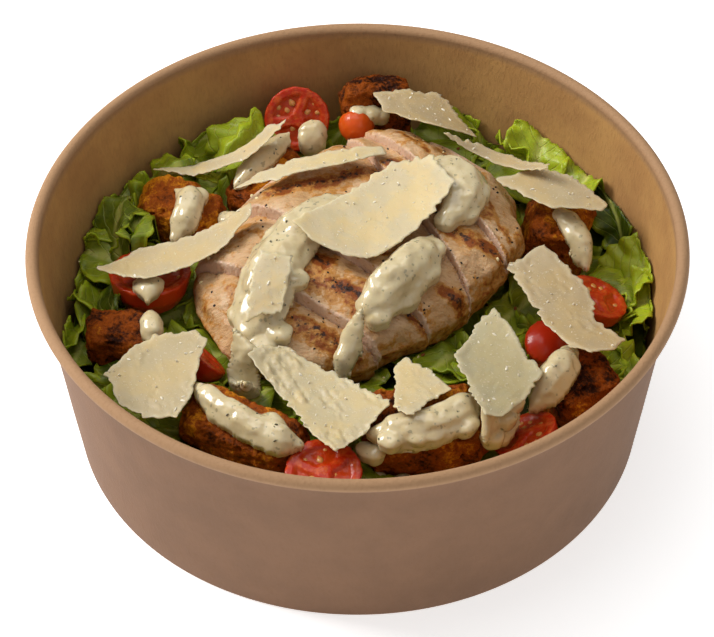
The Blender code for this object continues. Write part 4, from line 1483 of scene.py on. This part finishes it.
def strewn_tree():
    """Strews copies of one crumb over the faces that look up, each turned its own way."""
    sockets = {"Crumb": "Object", "Density": "Float", "Smallest": "Float", "Largest": "Float", "Seed": "Int",
               "Material": "Material"}
    tree, given = new_tree("strewn crumbs", sockets)
    facing = add_node(tree, "ShaderNodeSeparateXYZ", {0: add_node(tree, "GeometryNodeInputNormal").outputs[0]})
    upward = add_node(tree, "FunctionNodeCompare", {0: facing.outputs[2], 1: 0.55}, operation="GREATER_THAN")
    strewn = add_node(
        tree, "GeometryNodeDistributePointsOnFaces",
        {"Mesh": given["Geometry"], "Selection": upward.outputs[0], "Density": given["Density"], "Seed": given["Seed"]},
    )
    turn = add_node(
        tree, "FunctionNodeRandomValue", {0: (0, 0, 0), 1: (6.28, 6.28, 6.28), "Seed": given["Seed"]},
        data_type="FLOAT_VECTOR",
    )
    size = add_node(
        tree, "FunctionNodeRandomValue", {2: given["Smallest"], 3: given["Largest"], "Seed": given["Seed"]}
    )
    crumb = add_node(tree, "GeometryNodeObjectInfo", {"Object": given["Crumb"]})
    laid = add_node(
        tree, "GeometryNodeInstanceOnPoints",
        {
            "Points": strewn.outputs["Points"],
            "Instance": crumb.outputs["Geometry"],
            "Rotation": turn.outputs[0],
            "Scale": size.outputs[1],
        },
    )
    end_tree(tree, laid.outputs[0], given["Material"])
    return tree


def crumb_object(name, stretch, seed):
    """A broken crumb one millimetre across, of a few dozen faces."""
    bm = bmesh.new()
    bmesh.ops.create_icosphere(bm, subdivisions=2, radius=0.5)
    for vert in bm.verts:
        vert.co *= 1 + 0.3 * float(lumps([vert.co], 0.45, seed)[0])
    bmesh.ops.scale(bm, vec=[MM * s for s in stretch], verts=bm.verts)
    mesh = bpy.data.meshes.new(name)
    bm.to_mesh(mesh)
    bm.free()
    return bpy.data.objects.new(name, mesh)


def ground_of(names):
    """The upper surfaces of these pieces together, as one mesh to strew over."""
    bm = bmesh.new()
    for name in names:
        bm.from_mesh(bpy.data.objects[name].data)
    mesh = bpy.data.meshes.new("ground")
    bm.to_mesh(mesh)
    bm.free()
    return mesh


class SALAD_OT_small_things(bpy.types.Operator):
    """Strews pepper over the chicken, flecks of herb and pepper over the dressing, crystals over the cheese, crumbs of
    cheese over the chicken and leaves, and crumbs of bread over the leaves
    """

    bl_idname = "salad.small_things"
    bl_label = "Small things"

    def execute(self, context):
        small, chicken = context.scene.salad_small, context.scene.salad_chicken
        slices = [name + "_flesh" for name in nodes_named("chicken_slice")]
        creams = [name + "_cream" for name in nodes_named("dressing")]
        cheeses = [name + "_cheese" for name in nodes_named("shaving")]
        herbs = new_material("herb and pepper flecks", Base_Color=linear("#6c6952"), Roughness=0.6)[0]
        pepper = new_material("ground black pepper", Base_Color=linear("#20150c"), Roughness=0.7)[0]
        bread = new_material("toasted bread crumbs", Base_Color=linear("#8a4a16"), Roughness=0.75)[0]
        crystal = new_material("parmesan crystals", Base_Color=linear("#efe6d0"), Roughness=0.4)[0]
        cheese = new_material("parmesan crumbs", Base_Color=linear("#ead9a4"), Roughness=0.55)[0]
        tree = strewn_tree()
        square = 1e4
        table = [
            ("pepper_flecks", slices, chicken.pepper * square, 0.35, 0.95, (1, 1, 0.55), pepper, "chicken"),
            ("pepper_in_sauce", creams, 1.5 * square, 0.3, 1.0, (1, 1, 0.5), herbs, "dressing"),
            ("cheese_crystals", cheeses, 2.6 * square, 0.4, 1.6, (1, 0.5, 0.35), crystal, "parmesan"),
            ("cheese_crumbs", slices + ["bed_leaves"], small.grains * square * 0.4, 0.5, 1.7, (1, 0.8, 0.6), cheese, "parmesan"),
            ("bread_crumbs", ["bed_leaves"], small.crumbs * square * 0.5, 0.5, 1.8, (1, 0.9, 0.7), bread, "crouton"),
        ]
        for number, (name, ground, density, low, high, stretch, material, slot) in enumerate(table):
            crumb = crumb_object(name, stretch, number)
            values = {
                "Crumb": crumb, "Density": density, "Smallest": low, "Largest": high,
                "Seed": small.seed + number, "Material": material,
            }
            mesh = run_tree(name, ground_of(ground), tree, values)
            bpy.data.objects.remove(crumb)
            finish_piece(name, mesh, material)
        return {"FINISHED"}


# ---------------------------------------------------------------------------------------------
# Stage: floor, light and camera
# ---------------------------------------------------------------------------------------------


class SaladStage(bpy.types.PropertyGroup):
    key: FloatProperty(name="Key", description="Power of the main light, in watts", default=13, min=0)
    top: FloatProperty(name="Top", description="Power of the soft light overhead, in watts", default=5, min=0)
    fill: FloatProperty(name="Fill", description="Power of the soft front light, in watts", default=1.2, min=0)
    ambient: FloatProperty(name="Ambient", description="Strength of the light all round", default=0.25, min=0)
    lens: FloatProperty(name="Lens", description="Focal length in millimetres", default=188.738, min=1)


def aim(obj, place, forward, roll):
    """Puts an object that looks down its own -Z at a place, looking forward."""
    forward = Vector(forward).normalized()
    right = forward.cross(Vector((0, 0, 1))).normalized()
    up = right.cross(forward)
    turned = right * math.cos(roll) + up * math.sin(roll)
    basis = Matrix((turned, turned.cross(forward), -forward)).transposed()
    obj.matrix_world = Matrix.Translation(place) @ basis.to_4x4()


def area_light(name, place, target, size, power):
    light = bpy.data.lights.new(name, "AREA")
    light.size, light.energy = size, power
    obj = bpy.data.objects.new(name, light)
    bpy.context.scene.collection.objects.link(obj)
    aim(obj, Vector(place), Vector(target) - Vector(place), 0)


class SALAD_OT_stage(bpy.types.Operator):
    """Sets the floor, the soft studio light and the camera"""

    bl_idname = "salad.stage"
    bl_label = "Stage"

    def execute(self, context):
        stage = context.scene.salad_stage
        floor = new_mesh("studio_floor", [(-3000, -3000, 0), (3000, -3000, 0), (3000, 3000, 0), (-3000, 3000, 0)],
                         [(0, 1, 2, 3)])
        white = new_material("white studio sweep", Base_Color=(0.93, 0.93, 0.93), Roughness=0.8,
                             Emission_Color=(1, 1, 1), Emission_Strength=0.6)[0]
        floor.materials.append(white)
        new_object("studio_floor", floor)
        world = context.scene.world or bpy.data.worlds.new("studio")
        context.scene.world = world
        world.use_nodes = True
        background = world.node_tree.nodes["Background"]
        background.inputs["Color"].default_value = (1, 1, 1, 1)
        background.inputs["Strength"].default_value = stage.ambient
        area_light("key_light", (-0.84, 0.26, 0.82), (0, 0, 0.03), 0.5, stage.key)
        area_light("top_light", (-0.12, 0.2, 1.25), (0, 0, 0.03), 0.9, stage.top)
        area_light("fill_light", (0.5, -0.7, 0.7), (0, 0, 0.03), 0.9, stage.fill)
        camera = bpy.data.cameras.new("camera")
        camera.lens, camera.sensor_width = stage.lens, 36
        obj = bpy.data.objects.new("camera", camera)
        context.scene.collection.objects.link(obj)
        aim(obj, Vector((0, -0.742647, 0.789844)), (-0.000221, 0.701147, -0.713017), -0.0064)
        context.scene.camera = obj
        context.scene.view_settings.view_transform = "Standard"
        return {"FINISHED"}


# ---------------------------------------------------------------------------------------------
# Panel and registration
# ---------------------------------------------------------------------------------------------

GROUPS = {
    "salad_bowl": SaladBowl,
    "salad_leaves": SaladLeaves,
    "salad_chicken": GrilledChicken,
    "salad_croutons": Croutons,
    "salad_tomatoes": TomatoHalves,
    "salad_dressing": CaesarDressing,
    "salad_parmesan": ParmesanShavings,
    "salad_small": SmallThings,
    "salad_stage": SaladStage,
}
OPERATORS = [
    SALAD_OT_bowl,
    SALAD_OT_leaves,
    SALAD_OT_chicken,
    SALAD_OT_croutons,
    SALAD_OT_tomatoes,
    SALAD_OT_dressing,
    SALAD_OT_parmesan,
    SALAD_OT_small_things,
    SALAD_OT_stage,
]


class SALAD_PT_panel(bpy.types.Panel):
    bl_label = "Salad"
    bl_idname = "SALAD_PT_panel"
    bl_space_type = "VIEW_3D"
    bl_region_type = "UI"
    bl_category = "Salad"

    def draw(self, context):
        for operator in OPERATORS:
            self.layout.operator(operator.bl_idname)


def register():
    for kind in (*GROUPS.values(), *OPERATORS, SALAD_PT_panel):
        bpy.utils.register_class(kind)
    for name, group in GROUPS.items():
        setattr(bpy.types.Scene, name, PointerProperty(type=group))


def unregister():
    for name in GROUPS:
        delattr(bpy.types.Scene, name)
    for kind in reversed((*GROUPS.values(), *OPERATORS, SALAD_PT_panel)):
        bpy.utils.unregister_class(kind)


def main():
    register()
    for operator in OPERATORS:
        group, name = operator.bl_idname.split(".")
        if getattr(getattr(bpy.ops, group), name)() != {"FINISHED"}:
            raise RuntimeError(f"{operator.bl_label} was not finished")


if __name__ == "__main__":
    main()
